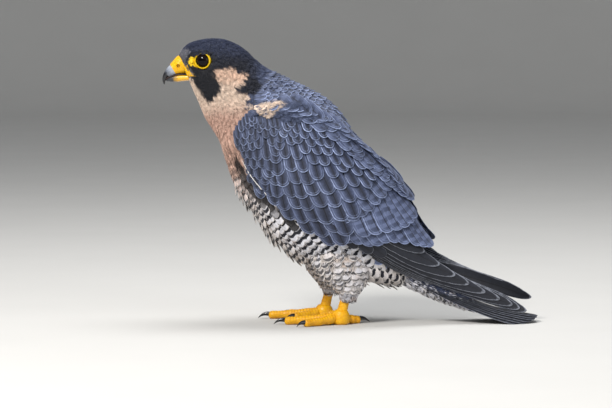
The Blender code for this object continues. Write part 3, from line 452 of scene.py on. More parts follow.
def coat_material(name):
    """Small body feathers and the skin: bars across, shaft streaks, and fine barbs."""
    g = Graph(name, Roughness=0.75, Specular_IOR_Level=0.25, Sheen_Weight=0.08, Sheen_Roughness=0.5)
    tint = g.attribute("tint")
    along, across, chance = g.parts(g.attribute("lay").outputs["Vector"])
    arc, bars, streaks = g.parts(g.attribute("mark").outputs["Vector"])
    lift, _, _ = g.parts(g.attribute("mark_more").outputs["Vector"])
    colour = tint.outputs["Color"]
    uneven = g.noise(g.place(), 420.0, 3.0)
    blush = g.times(g.step(g.noise(g.place(), 70.0, 2.0), 0.50, 0.68), bars)
    colour = g.mix(g.times(blush, 0.45), colour, (0.62, 0.44, 0.33))
    wide = g.times(g.size(across), 0.16)
    phase = g.minus(g.plus(arc, g.times(chance, 0.20)), wide)
    near = g.size(g.minus(g.math("FRACT", phase), 0.5))
    bar = g.times(g.step(g.plus(near, g.times(uneven, 0.05)), 0.23, 0.16), bars)
    colour = g.mix(bar, colour, (0.012, 0.013, 0.020))
    streak = g.times(g.step(g.size(across), 0.16, 0.06), streaks)
    colour = g.mix(g.times(streak, g.step(chance, 0.35, 0.55)), colour, (0.035, 0.026, 0.026))
    tone = g.plus(0.82, g.times(uneven, 0.36))
    colour = g.shade(colour, tone)
    fade = g.step(along, 0.0, 0.7, 0.55, 1.0)
    colour = g.shade(colour, fade)
    shine = g.times(lift, g.step(chance, 0.55, 0.95))
    colour = g.mix(g.times(shine, g.step(along, 0.3, 0.9)), colour, (0.42, 0.42, 0.46))
    g.colour(colour)
    g.bump(g.noise(g.place(), 900.0, 2.0), 0.0004, 0.4)
    return g.material


SECOND_LINE_GAP = 1.2             # millimetres from a vane's pale edge to the fainter line inside it


def vane_material(name, fringe, bar_colour, dark, bar=(0.20, 0.32), bend=0.15, scattered=1.0,
                  shaft_weight=0.8, rim=(0.35, 1.05), softness=0.0, second=0.0):
    """Stiff feathers: a dark middle with its shaft, bars, and a thin pale line round the end."""
    g = Graph(name, Roughness=0.58 + softness, Specular_IOR_Level=0.3, Sheen_Weight=0.06 + softness * 0.4,
              Sheen_Roughness=0.4)
    tint = g.attribute("tint")
    along, across, chance = g.parts(g.attribute("lay").outputs["Vector"])
    fringes, bars, middles = g.parts(g.attribute("mark").outputs["Vector"])
    edge, arc, _ = g.parts(g.attribute("rim").outputs["Vector"])
    width = g.size(across)
    uneven = g.noise(g.place(), 700.0, 3.0)
    mottle = g.noise(g.place(), 230.0, 4.0)
    rough = g.minus(uneven, 0.5)
    colour = tint.outputs["Color"]
    middle = g.step(g.plus(width, g.times(rough, 0.3)), 0.75, 0.15)
    colour = g.mix(g.times(middle, middles), colour, dark)
    bent = g.plus(arc, g.times(width, bend))
    phase = g.plus(bent, g.times(chance, scattered))
    phase = g.math("FRACT", g.plus(phase, g.times(rough, 0.25)))
    barred = g.step(g.size(g.minus(phase, 0.5)), bar[0], bar[1])
    colour = g.mix(g.times(barred, bars), colour, bar_colour)
    line = g.step(g.plus(edge, g.times(rough, 0.7)), rim[1], rim[0])
    tip = g.times(g.step(along, 0.25, 0.65, 0.2, 1.0), g.step(mottle, 0.30, 0.55, 0.45, 1.0))
    colour = g.mix(g.times(g.times(line, tip), fringes), colour, fringe)
    if second:
        ragged = g.plus(edge, g.times(rough, 0.5))
        gap = g.size(g.minus(ragged, rim[1] + SECOND_LINE_GAP))
        inner = g.times(g.step(gap, 0.45, 0.15), second)
        colour = g.mix(g.times(g.times(inner, tip), fringes), colour, fringe)
    shaft = g.step(width, 0.075, 0.035)
    colour = g.mix(g.times(shaft, shaft_weight), colour, (0.006, 0.006, 0.009))
    tone = g.plus(g.times(mottle, 0.7), g.plus(0.45, g.times(uneven, 0.4)))
    colour = g.shade(colour, tone)
    g.colour(colour)
    barbs = g.math("SINE", g.times(g.plus(g.times(arc, 1.2), width), 42.0))
    g.bump(g.plus(g.times(barbs, 0.5), g.times(shaft, 2.0)), 0.0002, 0.45)
    return g.material


def skin_material(name, base, deep, scale, roughness):
    """Bare waxy skin: small scales that bulge between creases darkened with painted shade."""
    g = Graph(name, Roughness=roughness, Subsurface_Weight=0.05, Subsurface_Scale=0.002,
              Specular_IOR_Level=0.45)
    g.shader.inputs["Subsurface Radius"].default_value = (1.0, 0.45, 0.1)
    cells = g.node("TexVoronoi", {"Vector": g.place(), "Scale": scale}, feature="DISTANCE_TO_EDGE")
    crease = g.step(cells.outputs[0], 0.0, 0.12)
    blotch = g.noise(g.place(), scale * 0.35, 3.0)
    painted_shade, _, _ = g.parts(g.attribute("mark").outputs["Vector"])
    colour = g.mix(g.step(blotch, 0.35, 0.7, 0.0, 0.6), base, deep)
    # Painted shade in the creases between the scales.
    colour = g.mix(g.times(g.minus(1.0, crease), 0.35), colour, deep)
    # Painted shade from the mark attribute: in the creases between scutes, under the toes and in the
    # nostrils.
    colour = g.mix(painted_shade, colour, (0.30, 0.10, 0.010))
    g.colour(colour)
    g.bump(g.plus(crease, g.times(blotch, 0.6)), 0.0003, 0.6)
    return g.material


def horn_material(name, pale, dark, start, end, roughness):
    """Horn that darkens from its root to its point, with fine growth lines."""
    g = Graph(name, Roughness=roughness, Specular_IOR_Level=0.5, Coat_Weight=0.3, Coat_Roughness=0.15)
    along, _, _ = g.parts(g.attribute("lay").outputs["Vector"])
    uneven = g.noise(g.place(), 500.0, 3.0)
    share = g.step(g.plus(along, g.times(g.minus(uneven, 0.5), 0.25)), start, end)
    g.colour(g.mix(share, pale, dark))
    lines = g.noise(g.node("Mapping", {"Vector": g.place(), "Scale": (1.0, 0.25, 0.25)}).outputs[0], 1800.0)
    g.bump(g.plus(lines, uneven), 0.00012, 0.5)
    return g.material


def new_mesh(name, points, triangles, attributes, slot, material, uv=None, replaces=()):
    """A mesh piece from arrays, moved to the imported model's place and riding on its body."""
    points = np.asarray(points, float).reshape(-1, 3) + shift
    triangles = np.asarray(triangles, np.int32).reshape(-1, 3)
    mesh = bpy.data.meshes.new(name)
    mesh.vertices.add(len(points))
    mesh.vertices.foreach_set("co", points.astype(np.float32).ravel())
    mesh.loops.add(triangles.size)
    mesh.loops.foreach_set("vertex_index", triangles.ravel())
    mesh.polygons.add(len(triangles))
    mesh.polygons.foreach_set("loop_start", np.arange(0, triangles.size, 3, dtype=np.int32))
    mesh.update(calc_edges=True)
    for key, values in attributes.items():
        values = np.asarray(values, np.float32)
        kind, field = ("FLOAT_COLOR", "color") if values.shape[-1] == 4 else ("FLOAT_VECTOR", "vector")
        made = mesh.attributes.new(key, kind, "POINT")
        made.data.foreach_set(field, values.ravel())
    if uv is not None:
        layer = mesh.uv_layers.new(name="OFBake")
        layer.data.foreach_set("uv", np.asarray(uv, np.float32)[triangles.ravel()].ravel())
    mesh.shade_smooth()
    mesh.materials.append(material)
    piece = bpy.data.objects.new(name, mesh)
    bpy.context.scene.collection.objects.link(piece)
    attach(piece, BODY)
    if replaces:
        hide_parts(*replaces)
    return piece


def loft_faces(rings, count, first=0):
    """Triangles of a closed loft, its ends closed by fans on the rings' own first points."""
    j, i = np.meshgrid(np.arange(rings - 1), np.arange(count), indexing="ij")
    a, b = first + j * count + i, first + j * count + (i + 1) % count
    c, d = b + count, a + count
    faces = [np.stack([a, b, c], -1).reshape(-1, 3), np.stack([a, c, d], -1).reshape(-1, 3)]
    fan = np.arange(1, count - 1)
    end = first + (rings - 1) * count
    faces.append(np.stack([np.full_like(fan, first), first + fan + 1, first + fan], -1))
    faces.append(np.stack([np.full_like(fan, end), end + fan, end + fan + 1], -1))
    return np.concatenate(faces)


def fix_normals(piece):
    """Turns every closed blade's or loft's faces outwards."""
    bm = bmesh.new()
    bm.from_mesh(piece.data)
    bmesh.ops.recalc_face_normals(bm, faces=bm.faces)
    bm.to_mesh(piece.data)
    bm.free()


def loft_piece(name, rings, marks=None, **options):
    """A closed loft through rings of points, with the share along it kept as an attribute."""
    rings = np.asarray(rings, float)
    steps, count = rings.shape[:2]
    along = np.repeat(np.linspace(0, 1, steps), count)
    lay = np.stack([along, 0 * along, 0 * along], -1)
    marks = np.zeros((steps * count, 3)) if marks is None else np.asarray(marks).reshape(-1, 3)
    piece = new_mesh(name, rings, loft_faces(steps, count), {"lay": lay, "mark": marks}, **options)
    fix_normals(piece)


# Tufts: a small feather is a fan of pointed strands, each a thin closed blade.
STRAND_ROWS = np.array([0.0, 0.45, 0.80, 1.0])
STRAND_WIDTHS = np.array([0.8, 1.0, 0.62, 0.0])
STRAND_POINTS = 10
OUTER_SHORTER = 0.30             # how much shorter the outermost strand is, as a share
STRAND_OVERLAP = 1.05
STRAND_RIDGE = 0.28              # height of a strand's ridge, as a share of its width
FAN_DROOP = 0.16                 # how far the fan's sides fall, as a share of half its width


def strand_faces():
    """Triangles of one strand: three-cornered rings that end in a point."""
    faces = []
    for row in range(2):
        for corner in range(3):
            a, b = 3 * row + corner, 3 * row + (corner + 1) % 3
            faces += [(a, b, b + 3), (a, b + 3, a + 3)]
    return np.array(faces + [(6, 7, 9), (7, 8, 9), (8, 6, 9), (2, 1, 0)])


def tufts(name, surface, places, length, width, strands, root_depth, tip_lift, outwards, marks, uv,
          spread_jitter=0.15, **options):
    """Small feathers on a surface, each rooted at its place (t, turn) and lying along t."""
    t, turn = places
    count = len(t)
    length = length * draw.uniform(0.85, 1.15, count)
    width = width * draw.uniform(0.9, 1.1, count)
    _, _, along, across = frames(surface, t, turn, outwards)
    swerve = draw.normal(0, spread_jitter, count)
    reach_t = length * np.cos(swerve) / np.linalg.norm(along, axis=-1)
    reach_turn = length * np.sin(swerve) / np.maximum(np.linalg.norm(across, axis=-1), 0.01)
    spine, face = [], []
    rise = tip_lift * draw.uniform(0.5, 1.4, count)
    for share, lift in ((0.0, -root_depth), (0.5, rise * 0.5 - root_depth * 0.3), (1.0, rise)):
        here, normal, _, _ = frames(surface, t + reach_t * share, turn + reach_turn * share, outwards)
        spine.append(here + normal * np.broadcast_to(lift, count)[:, None])
        face.append(normal)
    spread = np.linspace(-1, 1, strands)
    own = 1 - OUTER_SHORTER * spread ** 2 + draw.uniform(-0.10, 0.06, (count, strands))
    rows = STRAND_ROWS[None, None, :] * own[:, :, None]
    weights = (1 - rows) * (1 - 2 * rows), 4 * rows * (1 - rows), rows * (2 * rows - 1)
    centre = sum(w[..., None] * p[:, None, None, :] for w, p in zip(weights, spine))
    normal = unit(sum(w[..., None] * p[:, None, None, :] for w, p in zip(weights, face)))
    ahead = unit(spine[2] - spine[0])[:, None, None, :]
    side = unit(np.cross(normal, ahead))
    opening = 0.35 + 0.65 * np.minimum(rows / 0.5, 1)
    fan = spread[None, :, None] * opening + draw.normal(0, 0.05, rows.shape)
    half = width[:, None, None] / 2
    blade = width[:, None, None] / strands * STRAND_OVERLAP * STRAND_WIDTHS[None, None, :]
    middle = centre + side * (fan * half)[..., None]
    middle = middle - normal * (FAN_DROOP * half * fan ** 2)[..., None]
    middle = middle + normal * draw.normal(0, 0.00012, rows.shape)[..., None]
    left = middle - side * blade[..., None] / 2
    right = middle + side * blade[..., None] / 2
    top = middle + normal * (blade * STRAND_RIDGE)[..., None]
    points = np.stack([left, top, right], 3)[:, :, :3].reshape(count, strands, 9, 3)
    points = np.concatenate([points, middle[:, :, 3:4]], 2)
    rows_of = np.concatenate([np.repeat(rows[:, :, :3], 3, axis=2), rows[:, :, 3:4]], 2)
    fan_of = np.concatenate([np.repeat(fan[:, :, :3], 3, axis=2), fan[:, :, 3:4]], 2)
    chance = draw.uniform(0, 1, count)
    lay = np.stack([rows_of, fan_of, np.broadcast_to(chance[:, None, None], rows_of.shape)], -1)
    tip, _, _, _ = frames(surface, t + reach_t * 0.8, turn, outwards)
    tint, arc, bars, streaks, lift = marks(tip, t, turn)
    arc_of = arc[:, None, None] + rows_of * (length / BAR_PITCH)[:, None, None]

    def spread_out(values):
        return np.broadcast_to(values[:, None, None], rows_of.shape)

    mark = np.stack([arc_of, spread_out(bars), spread_out(streaks)], -1)
    more = np.stack([spread_out(lift), 0 * rows_of, 0 * rows_of], -1)
    tint = tint * draw.uniform(0.88, 1.10, (count, 1))
    tint = np.broadcast_to(np.concatenate([tint, np.ones((count, 1))], 1)[:, None, None, :],
                           rows_of.shape + (4,))
    spot = np.stack([rows_of * 0.003, fan_of * 0.0012], -1) + uv(t, turn)[:, None, None, :]
    base = np.arange(count * strands) * STRAND_POINTS
    faces = (strand_faces()[None] + base[:, None, None]).reshape(-1, 3)
    attributes = {"lay": lay.reshape(-1, 3), "mark": mark.reshape(-1, 3), "mark_more": more.reshape(-1, 3),
                  "tint": tint.reshape(-1, 4)}
    new_mesh(name, points, faces, attributes, uv=spot.reshape(-1, 2), **options)


def ring_at(surface, t):
    """Points round a closed surface at one station."""
    return surface(np.full(RING_SAMPLES, t), np.arange(RING_SAMPLES) / RING_SAMPLES)


def girth_of(ring):
    return np.linalg.norm(ring - np.roll(ring, 1, 0), axis=-1).sum()


def scatter(surface, start, end, gap, spacing):
    """Places in staggered, uneven rows over a closed surface, gap apart along it and spacing apart
    round it."""
    all_t, all_turn = [], []
    t, odd = start, 0.0
    while t < end:
        ring = ring_at(surface, t)
        per_t = np.linalg.norm(ring_at(surface, t + SPAN_STEP) - ring, axis=-1).mean() / SPAN_STEP
        count = max(int(girth_of(ring) / spacing), 6)
        jitter = draw.uniform(-0.32, 0.32, (2, count))
        all_turn.append((np.arange(count) + odd + jitter[0]) / count)
        all_t.append(t + jitter[1] * gap / per_t)
        t += gap / per_t
        odd = 0.5 - odd
    return np.concatenate(all_t), np.concatenate(all_turn) % 1.0


def from_axis(points):
    """Away from the body's middle line, for telling a normal's outer side."""
    x = points[..., 0]
    return points - np.stack([x, 0 * x, np.interp(x, *MIDDLE_LINE)], -1)


def end_of(shape, length, width):
    """Where a feather's rounded end starts, as a share of its length."""
    if shape == "round":
        return np.clip(1 - width / (2 * length), 0.3, 0.9)
    return np.full(len(length), {"long": 0.74, "tail": 0.90}[shape])


EDGE_WAVE = 0.020                # random unevenness of a vane's edges, as a share of half its width
EDGE_THINNING = 0.6              # how much thinner a vane's edges are than its middle
BLUNTEST = 0.07                  # width left at a vane's very end, as a share
CELL_MARGIN = 0.06               # round each vane's own cell of the unwrapping


def vanes(name, surface, rows, outwards, columns=7, spans=9, **options):
    """Stiff feathers as thin closed blades; rows holds arrays with one entry for each feather:
    root and tip places, width, lift at root and tip, roll, bow, tint and marks."""
    count = len(rows["width"])
    t = np.linspace(0, 1, spans + 1)
    t = 1 - (1 - t) ** 1.6
    place = rows["root"][:, None] + (rows["tip"] - rows["root"])[:, None] * t[None, :, None]
    place[..., 1] -= rows["bow"][:, None] * 2 * t * (1 - t)
    here, normal, _, _ = frames(surface, place[..., 0], place[..., 1], outwards)
    length = np.linalg.norm(np.diff(here, axis=1), axis=-1).sum(1)
    ahead = unit(np.gradient(here, axis=1))
    across = unit(np.cross(normal, ahead))
    across = np.where((across * rows["up"]).sum(-1, keepdims=True) < 0, -across, across)
    face = unit(np.cross(ahead, across))
    face = np.where((face * normal).sum(-1, keepdims=True) < 0, -face, face)
    roll = rows["roll"][:, None, None]
    side = across * np.cos(roll) - face * np.sin(roll)
    outer = face * np.cos(roll) + across * np.sin(roll)
    lift = rows["lift"][:, 0, None] + (rows["lift"][:, 1] - rows["lift"][:, 0])[:, None] * t
    column = np.linspace(-1, 1, columns + 1)
    bend = end_of(rows["shape"], length, rows["width"])[:, None]
    beyond = np.clip((t - bend) / (1 - bend), 0, 1)
    full = np.interp(t, (0, 0.35, 1), (0.5, 1, 1)) if rows["shape"] != "long" else np.interp(
        t, (0, 0.3, 0.6, 1), (0.4, 0.85, 1, 0.9))
    end = np.maximum(np.sqrt(1 - beyond ** 2), BLUNTEST)
    half = rows["width"][:, None] / 2 * full * end
    wave = draw.normal(0, EDGE_WAVE, (count, spans + 1, 2))
    flat = column * (1 + np.where(column < 0, wave[..., :1], wave[..., 1:]) * column ** 2)
    height = lift[..., None] - rows["camber"][:, None, None] * half[..., None] * column ** 2
    top = here[:, :, None] + side[:, :, None] * (flat * half[..., None])[..., None] \
        + outer[:, :, None] * height[..., None]
    thick = rows["thickness"] * (1 - EDGE_THINNING * np.abs(column))
    bottom = top - outer[:, :, None] * thick[None, None, :, None]
    points = np.stack([top, bottom], 1).reshape(-1, 3)
    wide = columns + 1
    size = (spans + 1) * wide
    j, i = np.meshgrid(np.arange(spans), np.arange(columns), indexing="ij")
    a = (j * wide + i).ravel()
    upper = np.concatenate([np.stack([a, a + 1, a + wide + 1], -1),
                            np.stack([a, a + wide + 1, a + wide], -1)])
    rim = np.concatenate([np.arange(columns), np.arange(spans) * wide + columns,
                          spans * wide + columns - np.arange(columns), (spans - np.arange(spans)) * wide])
    after = np.roll(rim, -1)
    sides = np.concatenate([np.stack([rim, rim + size, after + size], -1),
                            np.stack([rim, after + size, after], -1)])
    template = np.concatenate([upper, upper[:, ::-1] + size, sides])
    faces = (template[None] + (np.arange(count) * 2 * size)[:, None, None]).reshape(-1, 3)
    shape = (count, 2, spans + 1, wide)

    def full_shape(values):
        return np.broadcast_to(values, shape)

    lay = np.stack([full_shape(t[:, None]), full_shape(column),
                    full_shape(rows["chance"][:, None, None, None])], -1)
    from_middle = np.hypot(column * end[..., None], beyond[..., None])
    rim_gap = (1 - from_middle) * rows["width"][:, None, None] / 2 * 1000
    arc = t[None] * length[:, None] / VANE_BAR_PITCH
    rims = np.stack([full_shape(rim_gap[:, None]), full_shape(arc[:, None, :, None]),
                     full_shape(np.zeros(1))], -1)
    mark = np.broadcast_to(rows["mark"][:, None, None, None, :], shape + (3,))
    tint = np.concatenate([rows["tint"], np.ones((count, 1))], 1)
    tint = np.broadcast_to(tint[:, None, None, None, :], shape + (4,))
    grid = math.ceil(math.sqrt(count * 2))
    cell = np.arange(count * 2).reshape(count, 2)
    used = 1 - 2 * CELL_MARGIN
    cell_u = (cell % grid)[..., None, None] + CELL_MARGIN + used * (column + 1) / 2
    cell_v = (cell // grid)[..., None, None] + CELL_MARGIN + used * t[:, None]
    uv = np.stack(np.broadcast_arrays(cell_u, cell_v), -1) / grid
    attributes = {"lay": lay.reshape(-1, 3), "mark": mark.reshape(-1, 3), "rim": rims.reshape(-1, 3),
                  "tint": tint.reshape(-1, 4)}
    piece = new_mesh(name, points, faces, attributes, uv=uv.reshape(-1, 2), **options)
    fix_normals(piece)


def reach(surface, places, heading, length):
    """Steps in a surface's own two numbers that run a length over it, in a direction of the side
    view: heading is the angle from +X up towards +Z."""
    along, across = slopes(surface, places[:, 0], places[:, 1])
    aim = np.stack([np.cos(heading), 0 * heading, np.sin(heading)], -1)
    a, b, c = (along ** 2).sum(-1), (along * across).sum(-1), (across ** 2).sum(-1)
    p, q = (along * aim).sum(-1), (across * aim).sum(-1)
    steps = np.stack([c * p - b * q, a * q - b * p], -1) / (a * c - b * b)[:, None]
    run = np.linalg.norm(along * steps[:, :1] + across * steps[:, 1:], axis=-1)
    return steps * (length / run)[:, None]


def tier(surface, places, heading, length, width, lift, tint, mark, at_tip=False, roll=5.0,
         variation=0.04):
    """Feathers for vanes(), rooted at places or with their tips there, pointing along heading."""
    places = np.asarray(places, float)
    places = np.stack([np.maximum(places[:, 0], 0.01), places[:, 1]], -1)
    count = len(places)

    def vary(value, share):
        return np.broadcast_to(value, count) * draw.normal(1, share, count).clip(0.8, 1.2)

    length, width = vary(length, variation), vary(width, variation)
    heading = np.radians(np.broadcast_to(heading, count) + draw.normal(0, 2.0, count))
    steps = reach(surface, places, heading, length)
    root, tip = (places - steps, places) if at_tip else (places, places + steps)
    marks = np.tile(np.array(mark, float), (count, 1))
    marks[:, 0] *= draw.uniform(0.35, 1.0, count)
    return dict(root=root, tip=tip, width=width, lift=np.broadcast_to(np.asarray(lift, float), (count, 2)),
                roll=np.radians(draw.normal(roll, 1.0, count)), bow=np.zeros(count), shape="round",
                camber=np.full(count, 0.15), tint=np.asarray(tint) * vary(1.0, 0.10)[:, None],
                mark=marks, chance=draw.uniform(0, 1, count), thickness=VANE_THICKNESS, up=UP_THE_WING)


def spread_row(line, count):
    """Places spread evenly by number along a smooth line of (u, v)."""
    return spline(line, np.linspace(0, len(line) - 1, count))


def long_feathers(count, root, tip, width, lift, tint, mark, roll=4.0, bow=0.0, variation=0.006, **more):
    """Flight feathers spread evenly from the first to the last, for vanes()."""
    share = np.linspace(0, 1, count)[:, None]

    def between(pair):
        return np.asarray(pair[0], float) * (1 - share) + np.asarray(pair[1], float) * share

    start, end = between(root), between(tip)
    end = start + (end - start) * (1 + draw.normal(0, variation, (count, 1)))
    rows = dict(root=start, tip=end, width=between(((width[0],), (width[1],)))[:, 0], lift=between(lift),
                roll=np.radians(draw.normal(roll, 0.6, count)), bow=np.full(count, bow), shape="long",
                camber=np.full(count, 0.16), tint=np.asarray(tint) * draw.normal(1, 0.06, (count, 1)),
                mark=np.tile(np.array(mark, float), (count, 1)), chance=draw.uniform(0, 1, count),
                thickness=0.0005, up=UP_THE_WING)
    rows.update(more)
    return rows


PER_FEATHER = ("root", "tip", "width", "lift", "roll", "bow", "camber", "tint", "mark", "chance")


def join_rows(rows):
    """Tiers of one shape put together."""
    joined = {key: np.concatenate([row[key] for row in rows]) for key in PER_FEATHER}
    joined.update({key: rows[0][key] for key in ("shape", "thickness", "up")})
    return joined


def staggered(surface, u_range, v_range, width_at, overlap, heading, **settings):
    """Rows of short feathers over part of a sheet: width_at(u, v) is a feather's width in metres,
    and overlap its length over its width."""
    places, widths = [], []
    u, odd = u_range[0], 0
    while u < u_range[1]:
        size = width_at(u, sum(v_range) / 2)
        v = v_range[0]
        height = np.linalg.norm(surface(u, v + SPAN_STEP) - surface(u, v)) / SPAN_STEP
        v += 0.4 * size / height if odd else 0.0
        while v < v_range[1]:
            size = width_at(u, v)
            places.append((u + draw.normal(0, 0.02), v + draw.normal(0, 0.05) * size / height))
            widths.append(size)
            height = np.linalg.norm(surface(u, v + SPAN_STEP) - surface(u, v)) / SPAN_STEP
            v += size * 0.80 / height
        ahead = np.linalg.norm(surface(u + SPAN_STEP, 0.5) - surface(u, 0.5)) / SPAN_STEP
        u += width_at(u, sum(v_range) / 2) * 0.62 / ahead
        odd = 1 - odd
    places, widths = np.array(places), np.array(widths)
    turned_to = np.interp(places[:, 0], *zip(*heading))
    return tier(surface, places, turned_to, widths * overlap, widths, **settings)


# How the small feathers of the wing point, in degrees, at stations from the wrist on.
COVERT_HEADING = [(0, -82), (1, -78), (2, -72), (3, -62), (4, -52)]
GREATER_TIPS = [(2.20, -0.02), (2.52, 0.11), (2.88, 0.18), (3.18, 0.27), (3.36, 0.42), (3.46, 0.60),
                (3.52, 0.78), (3.54, 0.94)]
SCAPULAR_TIPS = [(1.30, 0.90), (2.10, 0.86), (2.80, 0.84), (3.40, 0.88), (3.95, 0.96)]
SECONDARY_TIPS = [(3.30, 0.04), (3.62, 0.15), (3.96, 0.26), (4.16, 0.41), (4.46, 0.55), (4.86, 0.72),
                  (5.05, 0.84)]
TERTIAL_TIPS = [(3.66, 0.27), (3.94, 0.45), (4.20, 0.62), (4.36, 0.78), (4.40, 0.92)]
PRIMARY_COVERT_TIPS = [(2.90, -0.02), (3.40, 0.02), (3.85, 0.08), (4.25, 0.16)]


def covert_width(u, v):
    """Coverts are smallest at the wrist and where the wing meets the back."""
    return float(np.interp(u, (0, 0.5, 1.2, 2.4, 3.4), (0.0072, 0.0102, 0.0145, 0.0178, 0.0185))
                 * (1 - 0.36 * smooth(np.array(v), 0.45, 0.80)))


def make_wing(name, side, material, dark, coat):
    """One folded wing, tier over tier, from the primaries out to the small coverts."""
    surface = wing_surface(side)
    outwards = always(0, side, 0)

    def make(part, rows, material=material, **more):
        vanes(f"wing_{name}_{part}", surface, rows, outwards, slot="slate_feathers", material=material,
              **more)

    make("primaries", long_feathers(9, ((2.10, 0.38), (1.40, 0.10)), ((4.95, 0.66), (7.86, 0.16)),
                                    (0.0190, 0.0150), ((-0.0062, -0.0034), (-0.0100, -0.0090)), BLACKISH,
                                    (0.7, 0.0, 0.4), bow=0.12),
         columns=8, spans=26, replaces=["wing_" + name], material=dark)
    at = spread_row(PRIMARY_COVERT_TIPS, 5)
    make("primary_coverts", tier(surface, at, -41, 0.038, 0.0100, (-0.0056, -0.0030), DARK_QUILL,
                                 (0.8, 0.0, 0.5), at_tip=True, roll=3), columns=6, spans=12, material=dark)
    at = spread_row(SECONDARY_TIPS, 11)
    make("secondaries", tier(surface, at, -49, 0.062, 0.0165, (-0.0056, -0.0016), SLATE, (0.9, 0.7, 0.4),
                             at_tip=True, roll=7, variation=0.02), columns=8, spans=16)
    at = spread_row(TERTIAL_TIPS, 7)
    make("tertials", tier(surface, at, np.linspace(-60, -50, 7), 0.052, 0.0180, (-0.0036, 0.0004), SLATE,
                          (1.0, 0.75, 0.35), at_tip=True, variation=0.02), columns=8, spans=16)
    at = spread_row(GREATER_TIPS, 13)
    greater = tier(surface, at, np.linspace(-50, -56, 13), 0.036, 0.0165, (-0.0030, 0.0002), SLATE,
                   (0.95, 0.45, 0.6), at_tip=True)
    alula = tier(surface, [(2.62, -0.03), (2.88, -0.01)], -45, 0.034, 0.0095, (-0.0040, -0.0012),
                 DARK_QUILL, (0.6, 0.0, 0.4), at_tip=True)
    make("greater_coverts", join_rows([greater, alula]), columns=6, spans=11)
    small = dict(heading=COVERT_HEADING, lift=(-0.0014, 0.0014))
    make("coverts", staggered(surface, (0.95, 2.85), (0.12, 0.98), covert_width, 1.75, tint=SLATE,
                              mark=(1.0, 0.0, 0.9), **small), columns=6, spans=8)
    make("wrist_coverts", staggered(surface, (0.02, 0.98), (0.04, 0.90), covert_width, 1.70,
                                    tint=np.array(SLATE) * 0.85, mark=(0.55, 0.0, 0.9), **small),
         columns=4, spans=6)
    row = spread_row(SCAPULAR_TIPS, 12)
    at = np.vstack([row + offset for offset in ((0, 0), (0.18, 0.045), (-0.24, 0.03))])
    make("scapulars", tier(surface, at, -52, 0.028, 0.0145, (-0.0012, 0.0018), SLATE, (0.85, 0.35, 0.7),
                           at_tip=True, variation=0.10), columns=6, spans=9)
    edge_line = long_feathers(12, ((0.12, -0.035), (1.35, -0.030)), ((0.26, -0.035), (1.46, -0.030)),
                              (0.0013, 0.0009), ((0.0016, 0.0020), (0.0016, 0.0020)), (0.72, 0.70, 0.68),
                              (0.0, 0.0, 0.0), roll=0.0, variation=0.4)
    make("pale_edge", edge_line, columns=3, spans=5)
    make_shoulder(name, side, coat)
    make_bridge(name, side, material, coat)
    make_wing_flesh(name, side)


def shoulder_marks(tip, t, turn):
    """Uneven slate, with most of the feathers in the shoulder's pale patch cream."""
    patch = head_zone(SCAPULAR_PATCH, tip) * (draw.uniform(0, 1, len(t)) > 0.22)
    tint = blend(SLATE, SLATE_PALE, draw.uniform(0, 1, len(t)) ** 2 * 0.7)
    return blend(tint, CREAM, patch), 0 * t, 0 * t, 0 * t, 0 * t


def make_shoulder(name, side, coat):
    """Small soft feathers along the folded wing's upper edge."""
    count = 400
    places = draw.uniform(0.01, 1.2, count), 1.0 - 0.17 * draw.uniform(0, 1, count) ** 1.2
    tufts("shoulder_" + name, wing_surface(side), places, 0.0090, 0.0046, 6, 0.0022, 0.0016,
          always(0, side, 0), shoulder_marks,
          lambda t, turn: np.stack([0.05 + 0.26 * t, 0.05 + 0.9 * (turn - 0.83) * 4], -1),
          spread_jitter=0.3, slot="slate_feathers", material=coat)


BRIDGE_END = 3.9                 # the wing's station at which the sheet beside the back ends


def bridge_surface(side):
    """The sheet that closes the space between a folded wing's upper edge and the back: the first
    number counts the wing's stations, and the second runs from the wing, 0, to the back, 1."""
    count = 20
    stations = np.linspace(0, BRIDGE_END, count)
    edge = wing_surface(side)(stations, np.full(count, 0.95))
    t, turn = np.meshgrid(np.linspace(8.5, 19, 220), np.linspace(0.0, 0.32, 120) * side, indexing="ij")
    body = body_surface(t, turn).reshape(-1, 3)
    goal = edge + np.array([0.0, -side * 0.020, 0.010])
    foot = body[np.linalg.norm(body[None] - goal[:, None], axis=-1).argmin(1)]
    for _ in range(3):
        foot[1:-1] = (foot[:-2] + 2 * foot[1:-1] + foot[2:]) / 4
    # Towards the rump the two wings' sheets meet over the back, a little below their edges.
    meet = np.stack([edge[:, 0] - 0.001, 0 * edge[:, 1], edge[:, 2] - 0.0035], -1)
    foot = blend(foot, meet, smooth(stations, 2.2, 3.0))
    middle = (edge + foot) / 2 + np.array([0.0, side * 0.002, 0.003])

    def surface(u, s):
        u, s = np.broadcast_arrays(np.asarray(u, float), np.asarray(s, float))
        a, b, c = (spline(rows, u * (count - 1) / BRIDGE_END) for rows in (edge, middle, foot))
        s = s[..., None]
        return a * (1 - s) ** 2 + b * 2 * s * (1 - s) + c * s ** 2
    return surface


